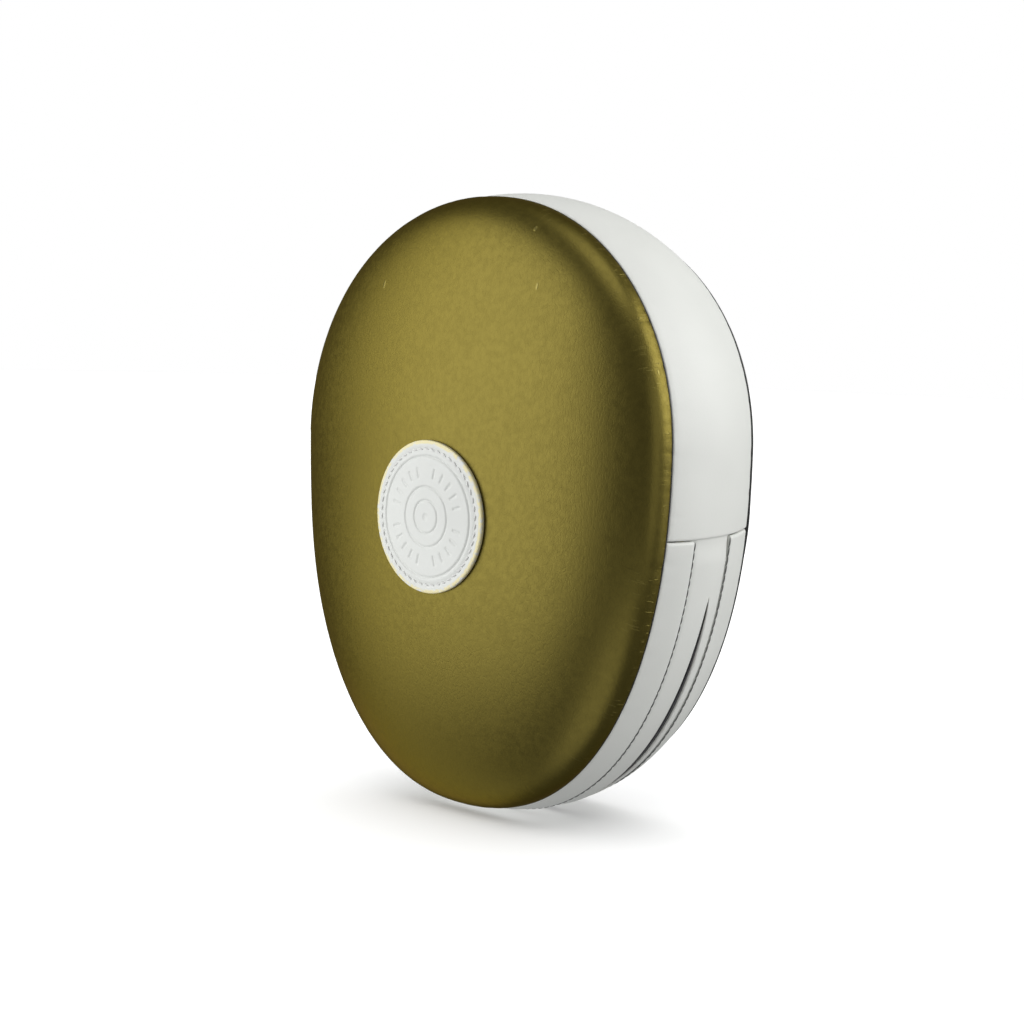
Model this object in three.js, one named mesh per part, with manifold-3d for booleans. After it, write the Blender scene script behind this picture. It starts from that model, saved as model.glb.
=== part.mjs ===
// Focus mitt: the padded target that a boxing coach wears on one hand.
//
// The mitt stands on its wrist end. X runs to the right as a boxer faces it, the striking face looks along -Y,
// and +Z is up, towards the fingertips. The origin is on the floor, under the middle of the bounding box.
// All sizes are in millimetres.
//
// Seen from the front the mitt is an egg, widest above its middle. From front to back it holds a crowned
// leather face over three foam layers, a board and a palm panel, then the space for the hand, then a padded
// back cover. The hand goes in through a long slit in the wrist end. The lower half of the back cover is a
// flap that flexes back to open that slit, and a hook-and-loop strap lies across it.
import * as THREE from "three";
import { mergeVertices } from "three/addons/utils/BufferGeometryUtils.js";
import Module from "manifold-3d";

const wasm = await Module();
wasm.setup();

// ---- Driving dimensions ----------------------------------------------------------------------------------
const HALF_WIDTH = 98; // of the face seam, at its widest level
const RISE_ABOVE = 96; // from the widest level to the top of the face seam
const DROP_BELOW = 144; // from the widest level to the bottom of the face seam
const ROUND_ABOVE = 2.04; // superellipse exponents: 2 is a true ellipse
const ROUND_BELOW = 2.22;

const FACE_SEAM_Y = -15; // where the face meets the side wall
const BACK_SEAM_Y = 38.4; // where the side wall meets the back cover
const CROWN = 28; // height of the face's dome over its seam
const WALL_BULGE = 5.2; // how far the side wall swells between its seams
const WALL_TAPER = 6.5; // how much smaller the back seam is than the face seam, all round

const LEATHER = 1.7;
const WALL_THICKNESS = 2.2;
const GAP = 0.3; // between neighbouring pieces
const FOAM_CLEARANCE = 0.4; // between a skin and the foam inside it
const LINER_CLEARANCE = 0.45; // between the wall and what lines it
const CORD_RADIUS = 0.6; // piping

const FLEX_Z = 115; // level of the cross seam, where the wrist flap flexes
const BACK_FLAT_Y = 41.5; // the flat part of the back cover
const PALM_Y = 1.1; // back of the palm panel: the front of the hand space
const LINING_Y = 20; // front of the back lining: the back of the hand space

const FRONT_STRIP_END_Y = -1.9; // the lower wall is three strips: front, mouth and rear
const REAR_STRIP_START_Y = 21;
const SLIT_TOP_Z = 93;
const SLIT_WIDTH = 8; // at the very bottom
const SLIT_TAPER = 0.8; // exponent: below 1 the slit stays wide for longer
const MOUTH_RECESS = 0.5; // how much deeper the mouth's strips lie than the other two
const SLIT_Y = 12.2; // the slit's middle, nearer the rear strip

const BADGE_RADIUS = 29.5;
const BADGE_Z = 118;
const BADGE_THICKNESS = 1.7;

const AROUND = 48; // facets round the egg
const NOMINAL = 110; // radius of the circle that the lathe profiles are drawn for
const WIDEST_Z = DROP_BELOW + 2.21; // puts the swollen wall's lowest point on the floor

// ---- The egg ---------------------------------------------------------------------------------------------
// Distance from the egg's middle to the face seam, at an angle from +X towards +Z.
function eggRadius(angle) {
  const across = Math.abs(Math.cos(angle)) / HALF_WIDTH;
  const isAbove = Math.sin(angle) >= 0;
  const along = Math.abs(Math.sin(angle)) / (isAbove ? RISE_ABOVE : DROP_BELOW);
  const power = isAbove ? ROUND_ABOVE : ROUND_BELOW;
  return 1 / (across ** power + along ** power) ** (1 / power);
}

// Turns a lathe about Y, drawn for a circle of radius NOMINAL, into the egg: what lies a distance inside the
// circle's edge ends up about that distance inside the egg's edge.
function warpToEgg(geometry) {
  const at = geometry.getAttribute("position");
  for (let i = 0; i < at.count; i++) {
    const x = at.getX(i);
    const z = at.getZ(i);
    const r = Math.hypot(x, z);
    const angle = Math.atan2(z, x);
    const share = Math.sin((Math.PI / 2) * Math.min(r / NOMINAL, 1));
    const scale = r < 1e-6 ? 1 : (r + (eggRadius(angle) - NOMINAL) * share) / r;
    at.setXYZ(i, x * scale, at.getY(i), z * scale + WIDEST_Z);
  }
  return geometry;
}

// ---- Solids ----------------------------------------------------------------------------------------------
function toSolid(geometry) {
  const bare = geometry.clone();
  bare.deleteAttribute("normal");
  bare.deleteAttribute("uv");
  const merged = mergeVertices(bare, 1e-3);
  const vertProperties = merged.getAttribute("position").array;
  const triVerts = new Uint32Array(merged.index.array);
  const solid = new wasm.Manifold(new wasm.Mesh({ numProp: 3, vertProperties, triVerts }));
  if (solid.volume() >= 0) return solid;
  for (let i = 0; i < triVerts.length; i += 3) triVerts.subarray(i, i + 2).reverse();
  return new wasm.Manifold(new wasm.Mesh({ numProp: 3, vertProperties, triVerts }));
}

function toGeometry(solid) {
  const mesh = solid.getMesh();
  const geometry = new THREE.BufferGeometry();
  geometry.setAttribute("position", new THREE.BufferAttribute(mesh.vertProperties, 3));
  geometry.setIndex(new THREE.BufferAttribute(mesh.triVerts, 1));
  geometry.computeVertexNormals();
  return geometry;
}

// A closed profile of [radius, y] points, turned about Y and warped to the egg.
function eggSolid(profile) {
  const points = profile.map(([r, y]) => new THREE.Vector2(r, y));
  return toSolid(warpToEgg(new THREE.LatheGeometry(points, AROUND)));
}

function boxSolid(low, high) {
  const size = high.map((v, i) => v - low[i]);
  const box = new THREE.BoxGeometry(...size);
  box.translate(...low.map((v, i) => v + size[i] / 2));
  return toSolid(box);
}

// A box whose four edges along Y are rounded, for patches and straps.
function patchSolid(low, high, corner) {
  const [x0, y0, z0] = low;
  const [x1, y1, z1] = high;
  const shape = new THREE.Shape();
  shape.moveTo(x0 + corner, z0);
  shape.lineTo(x1 - corner, z0);
  shape.absarc(x1 - corner, z0 + corner, corner, -Math.PI / 2, 0);
  shape.absarc(x1 - corner, z1 - corner, corner, 0, Math.PI / 2);
  shape.absarc(x0 + corner, z1 - corner, corner, Math.PI / 2, Math.PI);
  shape.absarc(x0 + corner, z0 + corner, corner, Math.PI, Math.PI * 1.5);
  shape.closePath();
  return alongY(shape, y0, y1, 3);
}

// A shape drawn in (x, z), made solid from y0 to y1.
function alongY(shape, y0, y1, curveSegments = 12) {
  const made = new THREE.ExtrudeGeometry(shape, { depth: y1 - y0, bevelEnabled: false, curveSegments });
  made.rotateX(Math.PI / 2);
  made.translate(0, y1, 0);
  return toSolid(made);
}

const FAR = 400;
const above = (z) => boxSolid([-FAR, -FAR, z], [FAR, FAR, FAR]);
const below = (z) => boxSolid([-FAR, -FAR, -FAR], [FAR, FAR, z]);
const between = (y0, y1) => boxSolid([-FAR, y0, -FAR], [FAR, y1, FAR]);
const upperHalf = (solid) => solid.intersect(above(FLEX_Z + GAP / 2));
const lowerHalf = (solid) => solid.intersect(below(FLEX_Z - GAP / 2));

// ---- Materials -------------------------------------------------------------------------------------------
function material(color, roughness, metalness = 0) {
  return new THREE.MeshStandardMaterial({ color, roughness, metalness });
}
const goldLeather = material(0x877735, 0.42, 0.35);
const whiteLeather = material(0xe4e6df, 0.5);
const badgeLeather = material(0xe9eae6, 0.45);
const blackLeather = material(0x17171a, 0.5);
const blackWebbing = material(0x141416, 0.85);
const hookAndLoop = material(0x101012, 0.95);
const blackRubber = material(0x1b1b1d, 0.6);
const liningFabric = material(0x1a1a1c, 0.9);
const softFoam = material(0xd9cf9a, 0.9);
const firmFoam = material(0x3a3b3d, 0.85);
const fibreBoard = material(0x9a7b52, 0.8);
const thread = material(0xd8d8d2, 0.7);

const mitt = new THREE.Group();

function add(name, solid, finish) {
  const mesh = new THREE.Mesh(toGeometry(solid), finish);
  mesh.name = name;
  mitt.add(mesh);
}

// ---- Striking face ---------------------------------------------------------------------------------------
const CROWN_STEPS = [0, 0.25, 0.46, 0.64, 0.78, 0.885, 0.95, 0.988, 1];
const CROWN_POWER = 1.7;
const CROWN_SHOULDER = 0.38;

// The dome as [radius, y] points from its middle to its rim, which lies at rimY.
function crownProfile(rimRadius, rimY, height) {
  return CROWN_STEPS.map((q) => [
    q * rimRadius,
    rimY - height * (1 - q ** CROWN_POWER) ** CROWN_SHOULDER,
  ]);
}

// The space between two domes, or a dome and a flat back.
function domeShell(outer, inner) {
  return eggSolid([...outer, ...inner.reverse()]);
}

const RIM_Y = FACE_SEAM_Y - CORD_RADIUS - GAP;
const FOAM_INSET = LEATHER + FOAM_CLEARANCE;
const FACE_FOAM_BACK_Y = -14;
const FACE_FOAM_BACK_RADIUS = NOMINAL - 3;

function addFace() {
  const skin = crownProfile(NOMINAL, RIM_Y, CROWN);
  const skinInside = crownProfile(NOMINAL - LEATHER, RIM_Y, CROWN - LEATHER);
  add("face_panel", domeShell(skin, skinInside), goldLeather);

  const foam = crownProfile(NOMINAL - FOAM_INSET, RIM_Y, CROWN - FOAM_INSET);
  const foamBack = [
    [0, FACE_FOAM_BACK_Y],
    [FACE_FOAM_BACK_RADIUS, FACE_FOAM_BACK_Y],
  ];
  add("face_foam", domeShell(foam, foamBack), softFoam);
}

// The badge follows the dome, and so does its ring of stitching.
function onCrown(bottom, thickness, outerRadius, innerRadius = 0) {
  const top = crownProfile(NOMINAL + bottom + thickness, RIM_Y, CROWN + bottom + thickness);
  const under = crownProfile(NOMINAL + bottom, RIM_Y, CROWN + bottom);
  const disc = new THREE.Shape().absarc(0, BADGE_Z, outerRadius, 0, Math.PI * 2);
  if (innerRadius > 0) disc.holes.push(new THREE.Path().absarc(0, BADGE_Z, innerRadius, 0, Math.PI * 2));
  return domeShell(top, under).intersect(alongY(disc, -FAR, RIM_Y, 18));
}

const THREAD_RING = 26.3;
const THREAD_WIDTH = 0.9;
const THREAD_HEIGHT = 0.5;

function addBadge() {
  add("badge", onCrown(GAP, BADGE_THICKNESS, BADGE_RADIUS), badgeLeather);
  const onTop = 2 * GAP + BADGE_THICKNESS;
  const half = THREAD_WIDTH / 2;
  add("badge_thread", onCrown(onTop, THREAD_HEIGHT, THREAD_RING + half, THREAD_RING - half), thread);
}

// ---- Side wall -------------------------------------------------------------------------------------------
// Radius of the wall's outside at a depth, for the nominal circle.
function wallRadius(y) {
  const k = (y - FACE_SEAM_Y) / (BACK_SEAM_Y - FACE_SEAM_Y);
  return NOMINAL - WALL_TAPER * k + WALL_BULGE * 4 * k * (1 - k);
}

// The profile of a band that follows the wall, from an inset outside to an inset inside.
function wallBand(y0, y1, outerInset, innerInset, steps) {
  const depths = Array.from({ length: steps + 1 }, (_, i) => y0 + ((y1 - y0) * i) / steps);
  const outside = depths.map((y) => [wallRadius(y) - outerInset, y]);
  const inside = depths.map((y) => [wallRadius(y) - innerInset, y]);
  return [...outside, ...inside.reverse(), outside[0]];
}

const WALL_START_Y = FACE_SEAM_Y + CORD_RADIUS + GAP;
const WALL_END_Y = BACK_SEAM_Y - CORD_RADIUS - GAP;
const LINING_THICKNESS = 1.2;
const LINER_THICKNESS = 2.5; // padded
const FACING_START_Y = PALM_Y + GAP;
const FACING_END_Y = REAR_STRIP_START_Y - 1.4;
const FACING_LIP = 0.6; // how far each facing shows inside its lip of the slit
const UNDER_FLOOR_Z = -10;

// The slit is a lens seen from below: it closes to a point at SLIT_TOP_Z on both sides.
function slitCutter(width) {
  const steps = 10;
  const half = (z) => (width / 2) * (1 - z / SLIT_TOP_Z) ** SLIT_TAPER;
  const levels = Array.from({ length: steps + 1 }, (_, i) => (SLIT_TOP_Z * i) / steps);
  const outline = [
    [SLIT_Y - width / 2, UNDER_FLOOR_Z],
    ...levels.map((z) => [SLIT_Y - half(z), z]),
    ...levels.slice(0, -1).reverse().map((z) => [SLIT_Y + half(z), z]),
    [SLIT_Y + width / 2, UNDER_FLOOR_Z],
  ];
  const lens = new THREE.Shape(outline.map(([y, z]) => new THREE.Vector2(y, z)));
  const made = new THREE.ExtrudeGeometry(lens, { depth: 2 * FAR, bevelEnabled: false });
  made.rotateX(Math.PI / 2);
  made.rotateZ(Math.PI / 2);
  made.translate(-FAR, 0, 0);
  return toSolid(made);
}

function addWall() {
  const wall = eggSolid(wallBand(WALL_START_Y, WALL_END_Y, 0, WALL_THICKNESS, 6));
  add("wall_upper", upperHalf(wall), whiteLeather);

  // The two strips at the mouth lie a little deeper than the front and rear strips that are sewn over them.
  const mouth = eggSolid(wallBand(WALL_START_Y, WALL_END_Y, MOUTH_RECESS, WALL_THICKNESS, 6));
  const strip = (y0, y1, band = wall) => lowerHalf(band).intersect(between(y0, y1));
  const slit = slitCutter(SLIT_WIDTH);
  const seam = GAP / 2;
  add("wall_lower_front", strip(-FAR, FRONT_STRIP_END_Y - seam), whiteLeather);
  const mouthFront = strip(FRONT_STRIP_END_Y + seam, SLIT_Y - seam, mouth);
  const mouthRear = strip(SLIT_Y + seam, REAR_STRIP_START_Y - seam, mouth);
  add("mouth_strip_front", mouthFront.subtract(slit), whiteLeather);
  add("mouth_strip_rear", mouthRear.subtract(slit), whiteLeather);
  add("wall_lower_rear", strip(REAR_STRIP_START_Y + seam, FAR), whiteLeather);

  // Inside the wall: a padded liner round the fingers, and two black facings that show inside the slit's lips.
  const inset = WALL_THICKNESS + LINER_CLEARANCE;
  const liner = wallBand(PALM_Y + GAP, LINING_Y - GAP, inset, inset + LINER_THICKNESS, 3);
  add("wall_liner", upperHalf(eggSolid(liner)), liningFabric);

  const facing = wallBand(FACING_START_Y, FACING_END_Y, inset, inset + LINING_THICKNESS, 3);
  const facings = lowerHalf(eggSolid(facing)).subtract(slitCutter(SLIT_WIDTH - 2 * FACING_LIP));
  add("mouth_facing_front", facings.intersect(between(-FAR, SLIT_Y - seam)), liningFabric);
  add("mouth_facing_rear", facings.intersect(between(SLIT_Y + seam, FAR)), liningFabric);
}

// Piping: a thin round cord sewn into a seam, all the way round.
function cordRing(radius, y) {
  const sides = 6;
  const profile = Array.from({ length: sides + 1 }, (_, i) => {
    const turn = (i / sides) * Math.PI * 2;
    return [radius + CORD_RADIUS * Math.cos(turn), y + CORD_RADIUS * Math.sin(turn)];
  });
  profile[sides] = profile[0];
  return eggSolid(profile);
}

function addPiping() {
  add("front_piping", cordRing(wallRadius(FACE_SEAM_Y) - CORD_RADIUS, FACE_SEAM_Y), blackLeather);
  const rear = cordRing(wallRadius(BACK_SEAM_Y) - CORD_RADIUS, BACK_SEAM_Y);
  add("rear_piping_upper", upperHalf(rear), blackLeather);
  add("rear_piping_lower", lowerHalf(rear), blackLeather);
}

// ---- Inside the pad --------------------------------------------------------------------------------------
const CORE_FOAM_BACK_Y = -8.3;
const BASE_FOAM_BACK_Y = -3;
const BOARD_BACK_Y = -1.2;

// A flat layer that fills the wall between two depths.
function layer(y0, y1) {
  const inset = WALL_THICKNESS + FOAM_CLEARANCE;
  return eggSolid([
    [0, y0],
    [wallRadius(y0) - inset, y0],
    [wallRadius(y1) - inset, y1],
    [0, y1],
  ]);
}

function addPadLayers() {
  add("core_foam", layer(FACE_FOAM_BACK_Y + GAP, CORE_FOAM_BACK_Y), firmFoam);
  add("base_foam", layer(CORE_FOAM_BACK_Y + GAP, BASE_FOAM_BACK_Y), softFoam);
  add("backing_board", layer(BASE_FOAM_BACK_Y + GAP, BOARD_BACK_Y), fibreBoard);
  add("palm_panel", layer(BOARD_BACK_Y + GAP, PALM_Y), liningFabric);
}

// ---- What the hand holds ---------------------------------------------------------------------------------
const GRIP_Z = 96;
const GRIP_SIZE = [31, 9, 19]; // half lengths of the pad's oval
const FINGER_BAND = { middleX: 0, halfSpan: 44, height: 15, thickness: 1.6, foot: 9, z0: 150, z1: 176 };
const THUMB_LOOP = { middleX: 66, halfSpan: 11, height: 15, thickness: 1.4, foot: 5, z0: 96, z1: 114 };

// One side of an arch as [x, y] points, from right to left: a flat-topped curve of half width a and height b.
function archCurve(a, b) {
  const roundness = 0.6;
  return Array.from({ length: 9 }, (_, i) => {
    const turn = (Math.PI * (i + 1)) / 10;
    const across = Math.sign(Math.cos(turn)) * Math.abs(Math.cos(turn)) ** roundness;
    return [a * across, b * Math.sin(turn) ** roundness];
  });
}

// A webbing loop that stands on the palm panel with its two ends turned out flat, made solid from z0 to z1.
function loopSolid({ middleX, halfSpan, height, thickness, foot, z0, z1 }) {
  const outside = halfSpan + thickness;
  const outline = [
    [outside + foot, 0],
    [outside + foot, thickness],
    [outside, thickness],
    ...archCurve(outside, height + thickness),
    [-outside, thickness],
    [-outside - foot, thickness],
    [-outside - foot, 0],
    [-halfSpan, 0],
    ...archCurve(halfSpan, height).reverse(),
    [halfSpan, 0],
  ];
  const base = PALM_Y + GAP;
  const shape = new THREE.Shape(outline.map(([x, y]) => new THREE.Vector2(middleX + x, base + y)));
  const made = new THREE.ExtrudeGeometry(shape, { depth: z1 - z0, bevelEnabled: false });
  made.translate(0, 0, z0);
  return toSolid(made);
}

function addHandFittings() {
  const oval = new THREE.SphereGeometry(1, 28, 14);
  oval.scale(...GRIP_SIZE);
  oval.translate(0, PALM_Y + GAP, GRIP_Z);
  add("palm_grip", toSolid(oval).intersect(between(PALM_Y + GAP, FAR)), blackLeather);
  add("finger_band", loopSolid(FINGER_BAND), blackWebbing);
  add("thumb_loop", loopSolid(THUMB_LOOP), blackWebbing);
}

// ---- Back cover ------------------------------------------------------------------------------------------
const BACK_THICKNESS = 2;
const BACK_RIM = wallRadius(BACK_SEAM_Y) - GAP;
const BACK_RIM_Y = BACK_SEAM_Y + CORD_RADIUS + GAP;
const BACK_SHOULDER = [102, BACK_FLAT_Y - 1.4];

// How far the cover has fallen from flat, on the way to its rounded edge: [radius, fall].
const BACK_FALL = [
  [0, 0],
  [78, 0],
  [90, 0.3],
  [98, 0.8],
];

// The cover's surface as [radius, y] points, moved in by an inset.
function backProfile(inset) {
  return BACK_FALL.map(([radius, fall]) => [radius, BACK_FLAT_Y - fall - inset]);
}

const backSkin = domeShell(
  [...backProfile(0), BACK_SHOULDER, [BACK_RIM, BACK_RIM_Y]],
  [...backProfile(BACK_THICKNESS), [BACK_RIM - BACK_THICKNESS, BACK_RIM_Y]],
);

const FOAM_START_Y = LINING_Y + LINING_THICKNESS + GAP;
const FOAM_SIDE_YS = [FOAM_START_Y, 29, 36]; // depths where the foam's side touches the wall's curve

function backFoam() {
  const inset = WALL_THICKNESS + FOAM_CLEARANCE;
  const side = FOAM_SIDE_YS.map((y) => [wallRadius(y) - inset, y]);
  const top = backProfile(BACK_THICKNESS + FOAM_CLEARANCE).reverse();
  return eggSolid([[0, FOAM_START_Y], ...side, ...top]);
}

// The tapering insert of ribbed elastic that lets the wrist flap stretch, under the strap.
const ELASTIC_LOW = { half: 13, z: 24 };
const ELASTIC_HIGH = { half: 8, z: 104 };
const ELASTIC_RECESS = 0.5; // below the flap's leather

function elasticShape(margin) {
  const corners = [
    [-ELASTIC_LOW.half - margin, ELASTIC_LOW.z - margin],
    [ELASTIC_LOW.half + margin, ELASTIC_LOW.z - margin],
    [ELASTIC_HIGH.half + margin, ELASTIC_HIGH.z + margin],
    [-ELASTIC_HIGH.half - margin, ELASTIC_HIGH.z + margin],
  ];
  return new THREE.Shape(corners.map(([x, z]) => new THREE.Vector2(x, z)));
}

function addBackCover() {
  const lining = layer(LINING_Y, LINING_Y + LINING_THICKNESS);
  const foam = backFoam();
  add("back_panel_upper", upperHalf(backSkin), blackLeather);
  add("back_foam_upper", upperHalf(foam), softFoam);
  add("back_lining_upper", upperHalf(lining), liningFabric);

  const cut = alongY(elasticShape(GAP), FOAM_START_Y, FAR);
  const insert = alongY(elasticShape(0), FOAM_START_Y, BACK_FLAT_Y - ELASTIC_RECESS);
  const flapSkin = lowerHalf(backSkin);
  add("flap_panel", flapSkin.subtract(cut), blackLeather);
  add("flap_foam", lowerHalf(foam), softFoam);
  add("flap_lining", lowerHalf(lining), liningFabric);
  add("flap_elastic", flapSkin.intersect(insert), blackWebbing);
}

// ---- Wrist strap -----------------------------------------------------------------------------------------
const STRAP_LOW_Z = 50;
const STRAP_HIGH_Z = 88;
const STRAP_HINGE_X = -44;
const STRAP_END_X = 48;
const ANCHOR_X = [-60, STRAP_HINGE_X];
const LOOP_X = [16, STRAP_END_X];
const HOOK_X = [18, 45];
const STRAP_X = [STRAP_HINGE_X + 0.5, STRAP_END_X];
const TAB_X = [STRAP_END_X + GAP, STRAP_END_X + GAP + 10];

const ON_FLAP_Y = BACK_FLAT_Y + GAP;
const LOOP_TOP_Y = ON_FLAP_Y + 1;
const HOOK_TOP_Y = LOOP_TOP_Y + GAP + 0.8;
const STRAP_Y = [HOOK_TOP_Y + GAP, BACK_FLAT_Y + 5];

// A rounded patch between two x and two y positions, set in from the strap's two edges.
function addPatch(name, finish, [x0, x1], [y0, y1], { setIn, corner }) {
  const low = [x0, y0, STRAP_LOW_Z + setIn];
  const high = [x1, y1, STRAP_HIGH_Z - setIn];
  add(name, patchSolid(low, high, corner), finish);
}

function addStrap() {
  addPatch("strap_anchor", blackLeather, ANCHOR_X, [ON_FLAP_Y, HOOK_TOP_Y], { setIn: -1, corner: 2 });
  addPatch("strap_loop_patch", hookAndLoop, LOOP_X, [ON_FLAP_Y, LOOP_TOP_Y], { setIn: 2, corner: 3 });
  addPatch("strap_hook_patch", hookAndLoop, HOOK_X, [LOOP_TOP_Y + GAP, HOOK_TOP_Y], { setIn: 4, corner: 3 });
  addPatch("wrist_strap", blackWebbing, STRAP_X, STRAP_Y, { setIn: 0, corner: 1 });
  addPatch("strap_pull_tab", blackRubber, TAB_X, STRAP_Y, { setIn: 2, corner: 4 });
}

addFace();
addBadge();
addWall();
addPiping();
addPadLayers();
addHandFittings();
addBackCover();
addStrap();

export default mitt;
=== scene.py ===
"""A boxing focus mitt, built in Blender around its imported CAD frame.

Shapes are worked out in millimetres, in the CAD's frame, and turned to metres when a mesh is made.
"""

import math

import bmesh
import bpy
import numpy as np
from mathutils import Matrix, Vector
from mathutils.bvhtree import BVHTree


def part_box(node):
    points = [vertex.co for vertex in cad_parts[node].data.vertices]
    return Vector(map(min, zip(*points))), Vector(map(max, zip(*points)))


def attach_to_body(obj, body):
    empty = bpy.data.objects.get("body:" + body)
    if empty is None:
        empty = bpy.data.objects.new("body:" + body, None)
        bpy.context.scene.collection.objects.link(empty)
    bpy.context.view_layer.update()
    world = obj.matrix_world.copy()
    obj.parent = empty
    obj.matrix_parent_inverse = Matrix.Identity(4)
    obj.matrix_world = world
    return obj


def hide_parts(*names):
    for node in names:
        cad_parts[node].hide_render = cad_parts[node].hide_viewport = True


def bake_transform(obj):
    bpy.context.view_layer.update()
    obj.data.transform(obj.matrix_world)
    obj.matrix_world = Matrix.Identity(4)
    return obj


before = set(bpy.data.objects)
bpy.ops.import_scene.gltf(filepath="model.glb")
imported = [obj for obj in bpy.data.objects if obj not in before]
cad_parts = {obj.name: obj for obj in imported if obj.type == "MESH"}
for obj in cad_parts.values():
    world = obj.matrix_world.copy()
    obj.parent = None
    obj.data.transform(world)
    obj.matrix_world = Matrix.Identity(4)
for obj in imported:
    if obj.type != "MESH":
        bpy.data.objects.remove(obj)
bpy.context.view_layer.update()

MM = 0.001


def cad_box(node):
    """A CAD node's lowest and highest corners, in millimetres."""
    low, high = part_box(node)
    return np.array(low) / MM, np.array(high) / MM


# ---- The egg: the same formulas as the CAD's, with its sizes read from the frame -----------------------------
NOMINAL = 110  # radius of the circle that profiles are drawn for
ROUND_ABOVE = 2.04
ROUND_BELOW = 2.22
CROWN_POWER = 1.7
CROWN_SHOULDER = 0.38
WALL_BULGE = 5.2
WALL_TAPER = 6.5
SHARE_ABOVE = 0.4  # of the face seam's height, above its widest level

face_low, face_high = cad_box("face_panel")
HALF_WIDTH = face_high[0]
FACE_HEIGHT = face_high[2] - face_low[2]
RISE_ABOVE = SHARE_ABOVE * FACE_HEIGHT
DROP_BELOW = FACE_HEIGHT - RISE_ABOVE
WIDEST_Z = face_low[2] + DROP_BELOW
RIM_Y = face_high[1]
CROWN = RIM_Y - face_low[1]
FACE_SEAM_Y = float(np.mean([corner[1] for corner in cad_box("front_piping")]))
BACK_SEAM_Y = float(np.mean([corner[1] for corner in cad_box("rear_piping_upper")]))
FLEX_Z = (cad_box("wall_upper")[0][2] + cad_box("wall_lower_rear")[1][2]) / 2
BACK_FLAT_Y = cad_box("back_panel_upper")[1][1]
PALM_Y = cad_box("palm_panel")[1][1]
LINING_Y = cad_box("back_lining_upper")[0][1]
FRONT_STRIP_END_Y = cad_box("wall_lower_front")[1][1]
REAR_STRIP_START_Y = cad_box("wall_lower_rear")[0][1]
SLIT_Y = (cad_box("mouth_strip_front")[1][1] + cad_box("mouth_strip_rear")[0][1]) / 2
SLIT_TOP_Z = 93
SLIT_WIDTH = 8
SLIT_LIMIT = 2.9
SEAM_RISE = 2.6  # of the cross seam, from the face seam to the back seam


def egg_radius(angle):
    """Distance from the egg's middle to the face seam, at an angle from +X towards +Z."""
    above = np.sin(angle) >= 0
    along = np.abs(np.sin(angle)) / np.where(above, RISE_ABOVE, DROP_BELOW)
    across = np.abs(np.cos(angle)) / HALF_WIDTH
    power = np.where(above, ROUND_ABOVE, ROUND_BELOW)
    return (across**power + along**power) ** (-1 / power)


def true_radius(radius, angle):
    """Where a point at a nominal radius really is."""
    share = np.sin(np.pi / 2 * np.minimum(radius / NOMINAL, 1))
    return radius + (egg_radius(angle) - NOMINAL) * share


def egg_point(radius, angle, y):
    """The point at a nominal radius, an angle and a depth. All three may be arrays."""
    r = true_radius(radius, angle)
    radius, angle, y = np.broadcast_arrays(radius, angle, y)
    return np.stack([r * np.cos(angle), y, WIDEST_Z + r * np.sin(angle)], axis=-1)


def nominal_radius(x, z):
    """The nominal radius and the angle of points at x and z."""
    angle = np.arctan2(z - WIDEST_Z, x)
    wanted = np.hypot(x, z - WIDEST_Z)
    radius = wanted.copy()
    for _ in range(30):
        radius = radius + (wanted - true_radius(radius, angle)) * 0.9
    return radius, angle


def angle_at_height(radius, z):
    """The right-hand angle at which a nominal radius reaches a height."""
    low = np.full(np.shape(radius), -np.pi / 2)
    high = -low
    for _ in range(40):
        middle = (low + high) / 2
        too_low = WIDEST_Z + true_radius(radius, middle) * np.sin(middle) < z
        low = np.where(too_low, middle, low)
        high = np.where(too_low, high, middle)
    return (low + high) / 2


def wall_radius(y):
    """Nominal radius of the side wall's outside at a depth."""
    k = (y - FACE_SEAM_Y) / (BACK_SEAM_Y - FACE_SEAM_Y)
    return NOMINAL - WALL_TAPER * k + WALL_BULGE * 4 * k * (1 - k)


def crown_y(share, height=CROWN):
    """Depth of the dome at a share of its rim's radius."""
    return RIM_Y - height * (1 - np.minimum(share, 1) ** CROWN_POWER) ** CROWN_SHOULDER


def crown_surface(x, z):
    """The dome's points over places given by x and z."""
    radius, _ = nominal_radius(x, z)
    return np.stack([x, crown_y(radius / NOMINAL), z], axis=-1)


def seam_rise(y):
    """How much higher than at the face the cross seam is at a depth of the wall."""
    return SEAM_RISE * ((y - FACE_SEAM_Y) / (BACK_SEAM_Y - FACE_SEAM_Y)) ** 2


# ---- Mesh making ---------------------------------------------------------------------------------------------
def quads(rows, columns, wrap_rows=False, wrap_columns=False, start=0):
    """The faces of a grid of points numbered row by row."""
    last_row = rows if wrap_rows else rows - 1
    last_column = columns if wrap_columns else columns - 1
    faces = []
    for i in range(last_row):
        for j in range(last_column):
            a = i * columns + j
            b = i * columns + (j + 1) % columns
            c = (i + 1) % rows * columns + (j + 1) % columns
            d = (i + 1) % rows * columns + j
            faces.append((start + a, start + b, start + c, start + d))
    return faces


def lengths_along(path):
    """How far along a line of points each of them lies."""
    return np.concatenate([[0], np.cumsum(np.linalg.norm(np.diff(path, axis=0), axis=1))])


def add_object(name, data):
    made = bpy.data.objects.new(name, data)
    bpy.context.scene.collection.objects.link(made)
    return made


def shade_smooth(mesh):
    mesh.polygons.foreach_set("use_smooth", [True] * len(mesh.polygons))


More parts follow.
